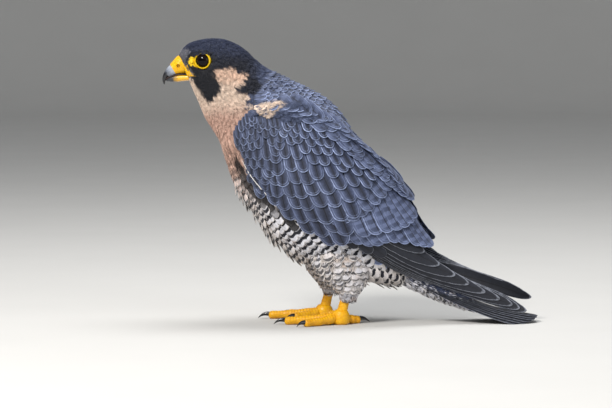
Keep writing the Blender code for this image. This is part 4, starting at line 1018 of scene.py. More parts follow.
def make_bridge(name, side, material, coat):
    """The feathers between the wing's upper edge and the back, over a closed core."""
    surface = bridge_surface(side)
    outwards = always(0.3, side * 0.5, 1.0)
    s = np.linspace(0, 1, 9)
    rings = []
    for u in np.linspace(0.05, BRIDGE_END - 0.1, 30):
        here = surface(np.full(9, u), s)
        rings.append(np.concatenate([here - [0, 0, 0.0012], (here - [0, 0, 0.0060])[::-1]]))
    g = Graph("bridge_flesh_" + name, Roughness=0.9)
    g.colour(g.mix(g.noise(g.place(), 300.0), (0.020, 0.024, 0.040), (0.060, 0.072, 0.110)))
    loft_piece("bridge_flesh_" + name, rings, slot="slate_feathers", material=g.material)
    count = 1100
    places = draw.uniform(0.02, BRIDGE_END - 0.4, count), draw.uniform(-0.08, 1.05, count)
    tufts("bridge_tufts_" + name, surface, places, 0.0100, 0.0052, 6, 0.0014, 0.0010, outwards,
          shoulder_marks, lambda t, turn: np.stack([0.05 + 0.28 * t, 0.10 + 0.7 * turn], -1),
          spread_jitter=0.2, slot="slate_feathers", material=coat)
    roots = []
    stations = np.concatenate([np.arange(0.04, 0.7, 0.13), np.arange(0.75, BRIDGE_END - 0.2, 0.17)])
    for i, u in enumerate(stations):
        roots += [(u, v) for v in np.arange(0.05 + 0.14 * (i % 2), 1.05, 0.28)]
    roots = np.array(roots) + draw.normal(0, 0.02, (len(roots), 2))
    roots[:, 0] = np.maximum(roots[:, 0], 0.01)
    size = np.interp(roots[:, 0], (0.1, 0.7, 3.0), (0.0072, 0.0090, 0.0125))
    run = surface(roots[:, 0] + SPAN_STEP, roots[:, 1]) - surface(*roots.T)
    ahead = np.linalg.norm(run, axis=-1) / SPAN_STEP
    total = len(roots)
    rows = dict(root=roots, tip=roots + np.stack([size * 1.7 / ahead, 0 * size], -1), width=size,
                lift=np.tile((-0.0004, 0.0022), (total, 1)), roll=np.zeros(total), bow=np.zeros(total),
                shape="round", camber=np.full(total, 0.12), chance=draw.uniform(0, 1, total),
                tint=np.asarray(SLATE) * draw.normal(1, 0.1, (total, 1)).clip(0.7, 1.3),
                mark=np.tile((0.75, 0.4, 0.8), (total, 1)), thickness=VANE_THICKNESS,
                up=np.array([0.0, 1.0, 0.0]))
    rows["tip"][:, 0] = np.minimum(rows["tip"][:, 0], BRIDGE_END - 0.01)
    patch = head_zone(SCAPULAR_PATCH, surface(*rows["tip"].T)) * (draw.uniform(0, 1, total) > 0.15)
    rows["tint"] = blend(rows["tint"], CREAM, patch)
    rows["mark"] = rows["mark"] * (1 - patch[:, None])
    vanes("bridge_" + name, surface, rows, outwards, columns=6, spans=7, slot="slate_feathers",
          material=material)


def make_wing_flesh(name, side):
    """The wing's core, which closes the space between its feathers and the body."""
    surface = wing_surface(side)
    outwards = always(0, side, 0)
    v = np.linspace(0.02, 0.98, 13)
    rings = []
    for u in np.linspace(0.02, 3.5, 24):
        here, normal, _, _ = frames(surface, np.full(13, u), v, outwards)
        fall = max(0.0, u - 1.3) / 2.2
        sink = 0.0040 + 0.0080 * fall ** 1.2 + 0.006 * max(0.0, 1 - u / 0.55) ** 2
        depth = sink + 0.0120 * (1 - fall) + 0.0015
        edge = np.sin(np.pi * (v - 0.02) / 0.96)[:, None] ** 0.5
        rings.append(np.concatenate([here - normal * (sink + 0.003 * (1 - edge)),
                                     (here - normal * (depth - 0.003 * (1 - edge)))[::-1]]))
    g = Graph("wing_flesh_" + name, Roughness=0.9)
    g.colour(g.mix(g.noise(g.place(), 300.0), (0.012, 0.014, 0.020), (0.030, 0.034, 0.046)))
    loft_piece("wing_flesh_" + name, rings, slot="slate_feathers", material=g.material)


def make_tail(material, coat):
    """Twelve tail feathers, the middle pair on top, with their coverts over and under them."""
    rows = []
    for side in (LEFT, RIGHT):
        for k in range(6):
            drop = 0.00095 * (k + (0.9 if k == 0 and side == RIGHT else 0.0))
            root = (0.2, side * (0.0020 + 0.0012 * k))
            tip = (5 - 0.034 * k * k, side * (0.0040 + 0.0033 * k))
            rows.append(long_feathers(1, (root, root), (tip, tip), (0.0175, 0.0175), ((-drop, -drop),) * 2,
                                      (0.016, 0.018, 0.026), (0.6, 0.35, 0.4), roll=0.0, variation=0.0,
                                      shape="tail", camber=np.array([0.05]), up=np.array([0.0, 1.0, 0.0])))
    vanes("tail_feathers", tail_surface, join_rows(rows), always(0, 0, 1), columns=8, spans=26,
          slot="tail_feathers", material=material, replaces=["tail"])
    places = scatter(rump_surface, 0.6, 4.6, 0.0050, 0.0052)

    def marks(tip, t, turn):
        top = smooth(np.cos(2 * np.pi * turn), -0.25, 0.15)
        arc = (tip[..., 0] - 0.05) / BAR_PITCH
        return blend(FLANK, SLATE, top), arc, np.where(top > 0.5, 0.25, 0.95), 0 * t, 0 * t

    tufts("tail_coverts", rump_surface, places, 0.0175, 0.0100, 7, 0.0010, 0.0010, from_axis, marks,
          lambda t, turn: np.stack([0.03 + 0.94 * turn, 0.03 + 0.94 * t / 7], -1),
          slot="barred_feathers", material=coat)


def arc_table():
    """Length along the body from the bill, for each station and turn, for the bars' spacing."""
    t = np.linspace(0, BODY_END, BODY_END * 8 + 1)
    turn = np.arange(97) / 96
    points = body_surface(*np.meshgrid(t, turn, indexing="ij"))
    steps = np.linalg.norm(np.diff(points, axis=0), axis=-1)
    arc = np.vstack([np.zeros(97), np.cumsum(steps, 0)])
    # Measured from the vent forwards, so that the bars meet evenly over the belly.
    arc = arc[-1:] - arc

    def look_up(at_t, at_turn):
        row = np.clip(at_t * 8, 0, len(t) - 1.001)
        column = (at_turn % 1.0) * 96
        i, j = row.astype(int), column.astype(int)
        fi, fj = row - i, column - j
        return (arc[i, j] * (1 - fi) * (1 - fj) + arc[i + 1, j] * fi * (1 - fj)
                + arc[i, j + 1] * (1 - fi) * fj + arc[i + 1, j + 1] * fi * fj)
    return look_up


def inside_wing(points):
    """Places on the body that a folded wing hides, well in from the wing's own edge."""
    u = np.concatenate([np.linspace(0.5, 5.5, 12), np.linspace(5.5, 0.5, 12)])
    v = np.concatenate([np.full(12, 0.22), np.full(12, 0.80)])
    rim = wing_surface(RIGHT)(u, v)
    return zone(rim[:, (0, 2)], points[..., 0], points[..., 2], 0.0001) > 0.5


def make_coat(coat):
    """The small feathers of the head, neck and body, longest on the belly."""
    arc = arc_table()

    def marks(tip, t, turn):
        colour, bars, streaks, frosting, _ = markings(tip + draw.normal(0, 0.0006, tip.shape))
        return colour, -arc(t, turn) / BAR_PITCH, bars, streaks, frosting

    def lay_out(t, turn):
        return np.stack([0.03 + 0.94 * turn, 0.03 + 0.94 * t / BODY_END], -1)

    # Name, first and last station, gap, spacing, length, width, strands, root depth, lift and slot.
    parts = [
        ("coat_face", 0.15, 3.2, 0.0013, 0.0016, 0.0042, 0.0022, 5, 0.0006, 0.0003, "crown_feathers"),
        ("coat_crown", 3.2, 6.6, 0.0017, 0.0019, 0.0058, 0.0028, 5, 0.0008, 0.0004, "crown_feathers"),
        ("coat_nape", 6.6, 9.6, 0.0022, 0.0025, 0.0085, 0.0038, 7, 0.0012, 0.0006, "pale_feathers"),
        ("coat_neck", 9.6, 12.2, 0.0030, 0.0033, 0.0120, 0.0050, 7, 0.0016, 0.0008, "pale_feathers"),
        ("coat_breast", 12.2, 15.6, 0.0040, 0.0043, 0.0150, 0.0066, 9, 0.0018, 0.0010, "barred_feathers"),
        ("coat_belly", 15.6, BODY_END - 0.3, 0.0046, 0.0050, 0.0175, 0.0084, 9, 0.0020, 0.0012,
         "barred_feathers"),
    ]
    for name, start, end, gap, spacing, length, width, strands, depth, lift, slot in parts:
        t, turn = scatter(body_surface, start, end, gap, spacing)
        points = body_surface(t, turn)
        _, _, along, _ = frames(body_surface, t, turn, from_axis)
        ahead = length / np.linalg.norm(along, axis=-1)
        keep = ~near_eye(points, LID_RADIUS + 0.0004) & ~inside_wing(points)
        keep &= ~near_eye(body_surface(t + ahead * 0.5, turn), LID_RADIUS - 0.0002)
        keep &= ~near_eye(body_surface(t + ahead, turn), LID_RADIUS - 0.0006)
        keep &= ~((head_zone(BARE_FACE, points, 0.01) > 0.5) & (np.abs(points[:, 1]) > 0.006))
        keep &= ~((t > 12.4) & (np.cos(2 * np.pi * turn) > 0.35))
        tufts(name, body_surface, (t[keep], turn[keep]), length, width, strands, depth, lift, from_axis,
              marks, lay_out, slot=slot, material=coat)


BARE_FACE = [(187.5, 60), (190, 56), (194, 54.5), (198, 55), (199, 66), (195, 66.5), (190, 64)]


def rows_over(surface, t_range, turn_range, size_at, stretch=1.7, lift=(-0.0012, 0.0014), camber=0.12,
              packing=(0.80, 0.55)):
    """Feathers in staggered rows over part of a closed surface, for vanes(), not coloured yet."""
    roots, tips, widths = [], [], []
    t, odd = t_range[0], 0
    while t < t_range[1]:
        size = size_at(t)
        step = size * packing[0] / girth_of(ring_at(surface, t))
        turn = np.arange(turn_range[0] + (0.5 * step if odd else 0), turn_range[1], step)
        turn = turn + draw.normal(0, 0.08 * step, len(turn))
        ahead = np.linalg.norm(surface(t + SPAN_STEP, turn) - surface(t, turn), axis=-1) / SPAN_STEP
        roots.append(np.stack([t + 0 * turn, turn], -1))
        tips.append(np.stack([t + size * stretch / ahead, turn], -1))
        widths.append(np.full(len(turn), size))
        t += size * packing[1] / ahead.mean()
        odd = 1 - odd
    roots, tips, widths = (np.concatenate(values) for values in (roots, tips, widths))
    count = len(widths)
    return dict(root=roots, tip=tips, width=widths * draw.normal(1, 0.05, count),
                lift=np.tile(lift, (count, 1)) * draw.uniform(0.6, 1.5, (count, 1)), roll=np.zeros(count),
                bow=np.zeros(count), shape="round", camber=np.full(count, camber),
                chance=draw.uniform(0, 1, count), thickness=VANE_THICKNESS, up=np.array([0.0, 1.0, 0.0]))


def keep_rows(rows, keep):
    """The feathers of a set of rows for which keep is true."""
    return {key: value[keep] if key in PER_FEATHER else value for key, value in rows.items()}


def make_mantle(material):
    """The back's feathers, in staggered tiers from the nape to the rump."""
    def size_at(t):
        return float(np.interp(t, (10.2, 11.6, 13.5, 16, 19, 23),
                               (0.0058, 0.0080, 0.0105, 0.0130, 0.0140, 0.0115)))

    rows = rows_over(body_surface, (10.2, BODY_END - 0.2), (-0.24, 0.24), size_at)
    fronts = [markings(body_surface(*rows[end].T))[-1] for end in ("root", "tip")]
    rows = keep_rows(rows, (np.maximum(*fronts) < 0.3) | (rows["root"][:, 0] > 11.5))
    count = len(rows["width"])
    tint = np.asarray(SLATE) * draw.normal(1, 0.16, (count, 1)).clip(0.6, 1.5)
    tint = blend(tint, SLATE_PALE, smooth(rows["root"][:, 0], 17, 21) * 0.5)
    behind_nape = smooth(rows["root"][:, 0], 10.2, 12.0)
    rows["tint"] = blend(CAP, tint, behind_nape)
    rows["mark"] = np.tile((0.75, 0.45, 0.8), (count, 1))
    rows["mark"][:, 0] *= 0.35 + 0.65 * behind_nape
    rows["tip"][:, 0] = np.minimum(rows["tip"][:, 0], BODY_END)
    vanes("mantle", body_surface, rows, from_axis, columns=6, spans=7, slot="slate_feathers",
          material=material)


def make_barred_feathers(soft):
    """The larger soft feathers of the underside: flanks and belly, thighs, and under the tail."""
    def size_at(t):
        return float(np.interp(t, (12.5, 14.5, 17, 20, 23), (0.0072, 0.0098, 0.0118, 0.0126, 0.0100)))

    def make(name, surface, rows, outwards):
        vanes(name, surface, rows, outwards, columns=6, spans=7, slot="barred_feathers", material=soft)

    rows = rows_over(body_surface, (12.9, BODY_END - 0.5), (0.22, 0.78), size_at, stretch=1.75,
                     lift=(-0.0010, 0.0019), camber=0.22, packing=(0.78, 0.62))
    colour, bars, _, _, front = markings(body_surface(*rows["tip"].T))
    rows["tint"] = colour * draw.uniform(0.9, 1.1, (len(colour), 1))
    rows["mark"] = np.stack([0.7 * bars, bars, 0.35 * bars], -1)
    rows["tip"][:, 0] = np.minimum(rows["tip"][:, 0], BODY_END)
    tips = body_surface(*rows["tip"].T)
    clump = smooth(-np.abs(tips[:, 1]), -0.026, -0.012) * smooth(-tips[:, 2], -0.140, -0.110)
    rows["lift"][:, 1] += 0.0045 * clump * draw.uniform(0, 1, len(colour)) ** 3
    rows = keep_rows(rows, ~inside_wing(body_surface(*rows["root"].T)) & (front > 0.5))
    make("barred_flanks", body_surface, rows, from_axis)
    for name, side in SIDES.items():
        rows = rows_over(thigh_surface(side), (0.3, 4.1), (0.0, 1.0), lambda t: 0.0105, stretch=1.75,
                         lift=(-0.0008, 0.0016), camber=0.22, packing=(0.78, 0.62))
        count = len(rows["width"])
        rows["tint"] = blend(FLANK, BELLY, draw.uniform(0, 1, count)) * draw.uniform(0.9, 1.1, (count, 1))
        rows["mark"] = np.tile(BARRED_MARK, (count, 1))
        rows["tip"][:, 0] = np.minimum(rows["tip"][:, 0], 5.0)
        make("barred_thigh_" + name, thigh_surface(side), rows, thigh_axis(side))
    rows = rows_over(rump_surface, (0.5, 4.2), (0.34, 0.66), lambda t: 0.0105 - 0.0007 * t, stretch=1.9,
                     lift=(-0.0008, 0.0014), camber=0.15, packing=(0.75, 0.62))
    count = len(rows["width"])
    rows["tint"] = np.asarray(FLANK) * draw.uniform(0.9, 1.1, (count, 1))
    rows["mark"] = np.tile(BARRED_MARK, (count, 1))
    rows["tip"][:, 0] = np.minimum(rows["tip"][:, 0], len(TAIL_ROOT_RINGS) - 1)
    make("barred_undertail", rump_surface, rows, from_axis)


def thigh_axis(side):
    """Away from a leg's own middle line, for telling a normal's outer side."""
    def away(points):
        middle = np.array([0.012 - (0.010 if side == RIGHT else 0.0), side * 0.0245])
        return np.concatenate([points[..., :2] - middle, 0 * points[..., 2:]], -1)
    return away


def make_trousers(coat):
    """The long soft feathers of each leg."""
    def marks(tip, t, turn):
        tint = blend(FLANK, BELLY, smooth(tip[..., 2], 0.03, 0.05))
        return tint, (0.09 - tip[..., 2]) / BAR_PITCH, np.full(len(t), 0.9), 0 * t, 0 * t

    for name, side in SIDES.items():
        surface = thigh_surface(side)
        places = scatter(surface, 0.2, 4.6, 0.0042, 0.0046)
        tufts("trousers_" + name, surface, places, 0.0150, 0.0080, 7, 0.0016, 0.0012, thigh_axis(side),
              marks, lambda t, turn: np.stack([0.03 + 0.94 * (turn % 1.0), 0.03 + 0.94 * t / 6], -1),
              slot="barred_feathers", material=coat)


def inset_loft(surface, t_values, count, depth, outwards):
    """Rings of a surface sunk by a depth, for the skin."""
    t, turn = np.meshgrid(t_values, np.arange(count) / count, indexing="ij")
    here, normal, _, _ = frames(surface, t, turn, outwards)
    return here - normal * depth(t)[..., None]


def make_skin(coat):
    """One closed skin under all the feathers, fused from the body, rump and legs. It gives back a
    tree of the skin's faces, for laying bare skin on the head."""
    def depth(t):
        return np.interp(t, (0, 3, 9, 14), (0.0004, 0.0007, 0.0014, 0.0022))

    rings = [inset_loft(body_surface, np.linspace(0.02, BODY_END, 130), 72, depth, from_axis),
             inset_loft(rump_surface, np.linspace(0, 4.6, 30), 40, lambda t: 0 * t + 0.0012, from_axis)]
    for side in SIDES.values():
        t, turn = np.meshgrid(np.linspace(0, 5.3, 40), np.arange(32) / 32, indexing="ij")
        ring = thigh_surface(side)(t, turn)
        middle = ring.mean(1, keepdims=True)
        rings.append(middle + (ring - middle) * (1 - 0.0016 / 0.0150))
    points, faces, first = [], [], 0
    for ring in rings:
        points.append(ring.reshape(-1, 3))
        faces.append(loft_faces(*ring.shape[:2], first))
        first += len(points[-1])
    mesh = bpy.data.meshes.new("skin_parts")
    mesh.from_pydata(np.concatenate(points).tolist(), [], np.concatenate(faces).tolist())
    maker = bpy.data.objects.new("skin_parts", mesh)
    bpy.context.scene.collection.objects.link(maker)
    remesh = maker.modifiers.new("remesh", "REMESH")
    remesh.mode, remesh.voxel_size = "VOXEL", 0.0015
    ease = maker.modifiers.new("ease", "SMOOTH")
    ease.factor, ease.iterations = 0.5, 3
    graph = bpy.context.evaluated_depsgraph_get()
    made = maker.evaluated_get(graph).to_mesh()
    made.calc_loop_triangles()
    at = np.zeros(len(made.vertices) * 3)
    made.vertices.foreach_get("co", at)
    corners = np.zeros(len(made.loop_triangles) * 3, np.int32)
    made.loop_triangles.foreach_get("vertices", corners)
    at = at.reshape(-1, 3)
    bpy.data.objects.remove(maker)
    at = sink_sockets(at)
    colour, bars, *_ = markings(at)
    tail_height = np.interp(at[:, 0], *zip(*TAIL_LINE))
    under = smooth(at[:, 0], 0.06, 0.08) * smooth(tail_height - at[:, 2], 0.002, 0.005)
    colour = blend(colour, FLANK, under)
    bars = np.where(at[:, 0] > 0.08, under, bars)
    none = np.zeros(len(at))
    tint = np.concatenate([colour, np.ones((len(at), 1))], 1)
    attributes = {"tint": tint, "lay": np.full((len(at), 3), 0.5),
                  "mark": np.stack([at[:, 0] / BAR_PITCH, bars, none], -1),
                  "mark_more": np.zeros((len(at), 3))}
    corners = corners.reshape(-1, 3)
    new_mesh("skin", at, corners, attributes, slot="pale_feathers", material=coat,
             replaces=["head", "neck", "torso", "thigh_left", "thigh_right"])
    return BVHTree.FromPolygons([tuple(p) for p in at], [tuple(f) for f in corners])


def in_eye_frame(points, side):
    """Distance from the eye's axis and height along it, for many points."""
    inverse = np.array(eye_matrix(side).inverted())
    local = np.concatenate([points, np.ones(points.shape[:-1] + (1,))], -1) @ inverse.T
    return np.hypot(local[..., 0], local[..., 1]), local[..., 2]


def near_eye(points, radius):
    """Whether points lie over either eye, within a radius of its axis, and less under the brow."""
    found = np.zeros(points.shape[:-1], bool)
    above = smooth(points[..., 2] - EYE[2] - 0.3 * (points[..., 0] - EYE[0]), 0.0025, 0.0060)
    for side in SIDES.values():
        from_axis_of_eye, height = in_eye_frame(points, side)
        found |= (from_axis_of_eye < radius - BROW_COVER * above) & (height > 0)
    return found


def sink_sockets(points):
    """Sinks the skin round each eye, so that the eye and its ring stand clear."""
    for side in SIDES.values():
        from_axis_of_eye, height = in_eye_frame(points, side)
        limit = 0.0010 + 0.02 * smooth(from_axis_of_eye, LID_RADIUS + 0.0002, LID_RADIUS + 0.0030)
        over = np.maximum(height - limit, 0) * (height > -0.001) * (from_axis_of_eye < 0.016)
        look = np.array(eye_matrix(side))[:3, 2]
        points = points - over[:, None] * look
    return points


def side_hit(tree, x, z, side):
    """The skin's point and outward normal at (x, z) on one side of the head."""
    place, normal, _, _ = tree.ray_cast(Vector((x, side * 0.08, z)), Vector((0, -side, 0)))
    if place is None:
        place, normal, _, _ = tree.find_nearest(Vector((x, side * 0.02, z)))
    if normal.y * side < 0:
        normal = -normal
    return np.array(place), np.array(normal)


def eye_matrix(side):
    """Turns +Z into the direction in which the eye looks, and moves the origin to its centre."""
    out = Vector((-math.sin(EYE_FORWARD), side * math.cos(EYE_FORWARD), -math.sin(EYE_DOWN))).normalized()
    turn = Vector((0, 0, 1)).rotation_difference(out).to_matrix().to_4x4()
    return Matrix.Translation((EYE[0], side * EYE[1], EYE[2])) @ turn


def turned(profile, segments, matrix):
    """Rings of a profile of (radius, height) points turned about a matrix's Z axis."""
    matrix = np.array(matrix)
    angle = 2 * np.pi * np.arange(segments) / segments
    rings = []
    for radius, height in profile:
        level = 0 * angle
        local = np.stack([radius * np.cos(angle), radius * np.sin(angle), level + height, level + 1], -1)
        rings.append((local @ matrix.T)[:, :3])
    return np.array(rings)


def make_eyes(tree, bare):
    """Dark eyeballs, the yellow ring round each and the bare skin before it."""
    g = Graph("eye_surface", Roughness=0.05, IOR=1.36, Specular_IOR_Level=0.30)
    along, _, _ = g.parts(g.attribute("lay").outputs["Vector"])
    iris = g.noise(g.place(), 900.0, 2.0)
    colour = g.mix(g.step(along, 0.10, 0.13), (0.001, 0.001, 0.0015), (0.007, 0.0035, 0.0025))
    colour = g.mix(g.times(iris, 0.4), colour, (0.004, 0.003, 0.003))
    colour = g.mix(g.step(along, 0.26, 0.31), colour, (0.002, 0.002, 0.003))
    g.colour(colour)
    for name, side in SIDES.items():
        polar = np.linspace(0.001, math.pi, 40)
        profile = [(EYE_RADIUS * math.sin(a), EYE_RADIUS * math.cos(a)) for a in polar]
        loft_piece("eyeball_" + name, turned(profile, 48, eye_matrix(side)), slot="eye",
                   material=g.material, replaces=["eye_" + name])
        rim = [(EYE_OPENING + 0.0005, 0.0030), (EYE_OPENING, 0.0040), (EYE_OPENING + 0.0001, 0.0050),
               (EYE_OPENING + 0.0005, 0.0055), (EYE_OPENING + 0.0009, 0.0054),
               (EYE_OPENING + 0.0014, 0.0047), (LID_RADIUS, 0.0034),
               (LID_RADIUS + 0.0001, 0.0012), (EYE_OPENING + 0.0010, 0.0010)]
        rings = turned(spline(rim, np.linspace(0, len(rim) - 1, 28)), 64, eye_matrix(side))
        loft_piece("orbital_ring_" + name, rings, slot="yellow_skin", material=bare,
                   replaces=["eyelids_" + name])
        patch_on_face("lore_skin_" + name, tree, side, BARE_FACE, 0.0011, bare)


def patch_on_face(name, tree, side, outline, height, material):
    """A thin domed patch of bare skin over the head, inside an outline in the photograph's pixels."""
    corners = np.array(outline, float)
    middle = corners.mean(0)
    loop = spline(np.vstack([corners, corners[:1]]), np.linspace(0, len(corners), 33)[:-1])
    rings = []
    for share in (1.0, 0.99, 0.85, 0.6, 0.3, 0.02):
        ring = []
        for corner in middle + (loop - middle) * share:
            x = EYE[0] + (corner[0] - EYE_PIXEL[0]) * PIXEL
            z = EYE[2] - (corner[1] - EYE_PIXEL[1]) * PIXEL
            place, normal = side_hit(tree, x, z, side)
            rise = -0.0008 if share == 1.0 else height * (1 - 0.6 * share ** 3)
            ring.append(place + normal * rise)
        rings.append(ring)
    loft_piece(name, rings, slot="yellow_skin", material=material)


CERE_RINGS = [
    (-0.1350, 0.2448, -0.1262, 0.2287, 0.0092),
    (-0.1377, 0.2450, -0.1297, 0.2286, 0.0088),
    (-0.1400, 0.2431, -0.1325, 0.2284, 0.0083),
    (-0.1424, 0.2403, -0.1355, 0.2283, 0.0076),
    (-0.1450, 0.2374, -0.1392, 0.2277, 0.0067),
]
BILL_RINGS = [
    (-0.1440, 0.2374, -0.1380, 0.2283, 0.0066),
    (-0.1466, 0.2352, -0.1404, 0.2273, 0.0059),
    (-0.1486, 0.2328, -0.1428, 0.2262, 0.0051),
    (-0.1501, 0.2305, -0.1448, 0.2250, 0.0044),
    (-0.1512, 0.2282, -0.1465, 0.2262, 0.0037),
    (-0.1519, 0.2257, -0.1477, 0.2247, 0.0030),
    (-0.1521, 0.2230, -0.1488, 0.2228, 0.0022),
    (-0.1518, 0.2210, -0.1496, 0.2208, 0.0014),
    (-0.1508, 0.2188, -0.1499, 0.2188, 0.0006),
]
LOWER_BILL_RINGS = [
    (-0.1275, 0.2284, -0.1262, 0.2226, 0.0083),
    (-0.1303, 0.2284, -0.1290, 0.2222, 0.0079),
    (-0.1355, 0.2283, -0.1345, 0.2216, 0.0065),
    (-0.1400, 0.2277, -0.1398, 0.2210, 0.0051),
    (-0.1440, 0.2264, -0.1438, 0.2210, 0.0038),
    (-0.1470, 0.2246, -0.1468, 0.2214, 0.0025),
    (-0.1486, 0.2232, -0.1485, 0.2219, 0.0012),
]
MOUTH_RINGS = [
    (-0.1270, 0.2292, -0.1262, 0.2270, 0.0084),
    (-0.1355, 0.2292, -0.1345, 0.2270, 0.0066),
    (-0.1400, 0.2288, -0.1398, 0.2262, 0.0053),
    (-0.1450, 0.2276, -0.1448, 0.2244, 0.0038),
    (-0.1490, 0.2250, -0.1489, 0.2226, 0.0020),
]
NOSTRIL = (-0.1372, 0.2359)
TUBERCLE_RADIUS = 0.0006         # the small knob inside each nostril


def bill_rings(rows, steps, count=48, squareness=0.85):
    """A bill part's surface, widest a little below its middle."""
    rows = [(*row, 0.45) for row in rows]
    t, turn = np.meshgrid(np.linspace(0, len(rows) - 1, steps), np.arange(count) / count, indexing="ij")
    return ring_surface(rows, t, turn, squareness)


def make_bill(tree, cere_skin):
    """The cere with its nostrils, both halves of the bill, and the bare skin round the mouth."""
    rings = bill_rings(CERE_RINGS, 60, 96)
    gap = np.hypot(rings[..., 0] - NOSTRIL[0], rings[..., 2] - NOSTRIL[1])
    side = np.sign(rings[..., 1])
    rings[..., 1] += side * (0.0004 * np.exp(-((gap - 0.0021) / 0.0006) ** 2)
                             - 0.0016 * (1 - smooth(gap, 0.0008, 0.0017)))
    swell = 0.0003 * np.exp(-((rings[..., 2] - 0.2395) / 0.003) ** 2)
    rings[..., 1] += side * swell
    marks = np.zeros(rings.shape)
    # Painted shade in each nostril's hollow.
    marks[..., 0] = 1 - smooth(gap, 0.0011, 0.0019)
    loft_piece("cere_skin", rings, marks, slot="yellow_skin", material=cere_skin, replaces=["cere"])
    for name, side in SIDES.items():
        profile = [(TUBERCLE_RADIUS * math.sin(a), TUBERCLE_RADIUS * math.cos(a))
                   for a in np.linspace(0.01, 3.13, 10)]
        place = Matrix.Translation((NOSTRIL[0], side * 0.0072, NOSTRIL[1]))
        loft_piece("nostril_tubercle_" + name, turned(profile, 14, place), slot="yellow_skin",
                   material=cere_skin)
    upper = horn_material("bill_horn", (0.36, 0.40, 0.48), (0.008, 0.009, 0.013), 0.02, 0.46, 0.26)
    loft_piece("bill_upper_horn", bill_rings(BILL_RINGS, 70), slot="horn", material=upper,
               replaces=["bill_upper"])
    lower = horn_material("bill_lower_horn", (0.82, 0.43, 0.010), (0.03, 0.034, 0.042), 0.36, 0.62, 0.35)
    # A near-black sheet between the bill's halves: painted shade in the gap along the mouth line.
    inside = Graph("mouth_line", Roughness=0.6)
    inside.shader.inputs["Base Color"].default_value = (0.020, 0.008, 0.007, 1)
    loft_piece("mouth_line", bill_rings(MOUTH_RINGS, 24), slot="horn", material=inside.material)
    loft_piece("bill_lower_horn", bill_rings(LOWER_BILL_RINGS, 50), slot="yellow_skin", material=lower,
               replaces=["bill_lower"])
    for name, side in SIDES.items():
        patch_on_face("gape_skin_" + name, tree, side, GAPE_SKIN, 0.0010, cere_skin)
        for part, rise in (("upper", 0.0007), ("lower", -0.0007)):
            rings = []
            for share in np.linspace(0, 1, 14):
                x = -0.1345 + 0.0140 * share
                z = 0.2283 - 0.0014 * share ** 2 + rise * (1 - share ** 2)
                place, normal = side_hit(tree, x, z, side)
                out = place + normal * 0.0005
                if x < -0.128:
                    out[1] = side * np.interp(x, (-0.1345, -0.128), (0.0084, abs(out[1])))
                size = 0.0009 * (1 - 0.55 * share)
                angle = 2 * np.pi * np.arange(12) / 12
                rings.append([out + np.array([0, side * size * math.cos(a), size * 0.8 * math.sin(a)])
                              for a in angle])
            loft_piece(f"gape_{part}_{name}", rings, slot="yellow_skin", material=cere_skin)


TARSUS_RADIUS = 0.0044
FOOT_CENTRE = (0.0115, 0.0250)
TOES = [                         # name, heading (+ is outwards), length, radius, claw length
    ("inner", math.radians(-30), 0.0300, 0.0046, 0.0140),
    ("middle", math.radians(2), 0.0490, 0.0045, 0.0145),
    ("outer", math.radians(34), 0.0380, 0.0042, 0.0125),
    ("hind", math.radians(-148), 0.0180, 0.0045, 0.0160),
]
CLAW_RADIUS = 0.0026
CLAW_RISE = math.radians(25)
CLAW_DROOP = math.radians(90)
UP = np.array([0.0, 0.0, 1.0])
GROUND_GAP = 0.0004              # claws stay this high, and lower soles are laid flat below it


def crease_at(phase, width):
    """How deep the crease between two scutes is at a phase of their pattern, 1 at its middle: the weight of
    the painted shade in it.
    """
    return math.exp(-((phase if phase < 0.5 else phase - 1) / width) ** 2)


def toe_rings(start, direction, length, radius):
    """A toe with its pads below and overlapping scutes above, flat where it stands."""
    across = np.cross(UP, direction)
    rings, marks = [], []
    scutes = max(int(length / 0.0026), 5)
    for t in np.linspace(0, 1, scutes * 7 + 1):
        pads = 0.10 * math.cos(2 * math.pi * 3 * t)
        size = radius * (1.0 - 0.20 * t)
        rise = 0.0030 * (1 - t) ** 2
        centre = start + direction * length * t + UP * (size * 0.95 + rise)
        angle = 2 * np.pi * (np.arange(28) + 0.5) / 28
        top = np.clip(np.sin(angle), 0, 1) ** 0.6
        phase = (t * scutes) % 1.0
        scute = 0.00035 * (1 - phase) ** 0.8 - 0.0003 * math.exp(-(phase / 0.10) ** 2)
        reach = size * (1 + pads * (0.35 + 0.65 * (1 - top))) + scute * top
        ring = centre + across * (reach * np.cos(angle))[:, None] + UP * (reach * np.sin(angle))[:, None]
        floor = rise * 0.6
        ring[:, 2] = np.maximum(ring[:, 2], floor if floor > GROUND_GAP else 0.0002)
        rings.append(ring)
        # Painted shade in the creases between the scutes on top, and a little along the toe's whole
        # underside.
        crease = crease_at(phase, 0.10)
        marks.append(np.stack([crease * 0.55 * top + 0.12 * (1 - top), 0 * top, 0 * top], -1))
    last = rings[-1]
    middle = last.mean(0)
    for bend in np.linspace(0, 0.96, 8)[1:] * math.pi / 2:
        rings.append(middle + direction * size * 0.75 * math.sin(bend)
                     + (last - middle) * math.cos(bend))
        marks.append(marks[-1] * 0.6)
    return np.array(rings), np.array(marks), middle


def claw_rings(start, direction, length):
    """A hooked claw, from inside the toe's end to its point."""
    across = np.cross(UP, direction)
    rings = []
    centre = start + direction * (CLAW_RADIUS * math.sin(CLAW_RISE) - 0.0012)
    steps = 26
    for k in range(steps + 1):
        t = k / steps
        pitch = CLAW_DROOP * t - CLAW_RISE
        ahead = direction * math.cos(pitch) - UP * math.sin(pitch)
        above = direction * math.sin(pitch) + UP * math.cos(pitch)
        size = CLAW_RADIUS * (1 - 0.95 * t ** 1.3)
        angle = 2 * np.pi * np.arange(16) / 16
        rings.append(centre + across * (size * 0.78 * np.cos(angle))[:, None]
                     + above * (size * np.sin(angle))[:, None])
        centre = centre + ahead * length / steps
    rings = np.array(rings)
    low, base = rings[..., 2].min(), start[2]
    if low < GROUND_GAP:
        share = np.clip((base - rings[..., 2]) / (base - low), 0, 1)
        rings[..., 2] += (GROUND_GAP - low) * share
    return rings


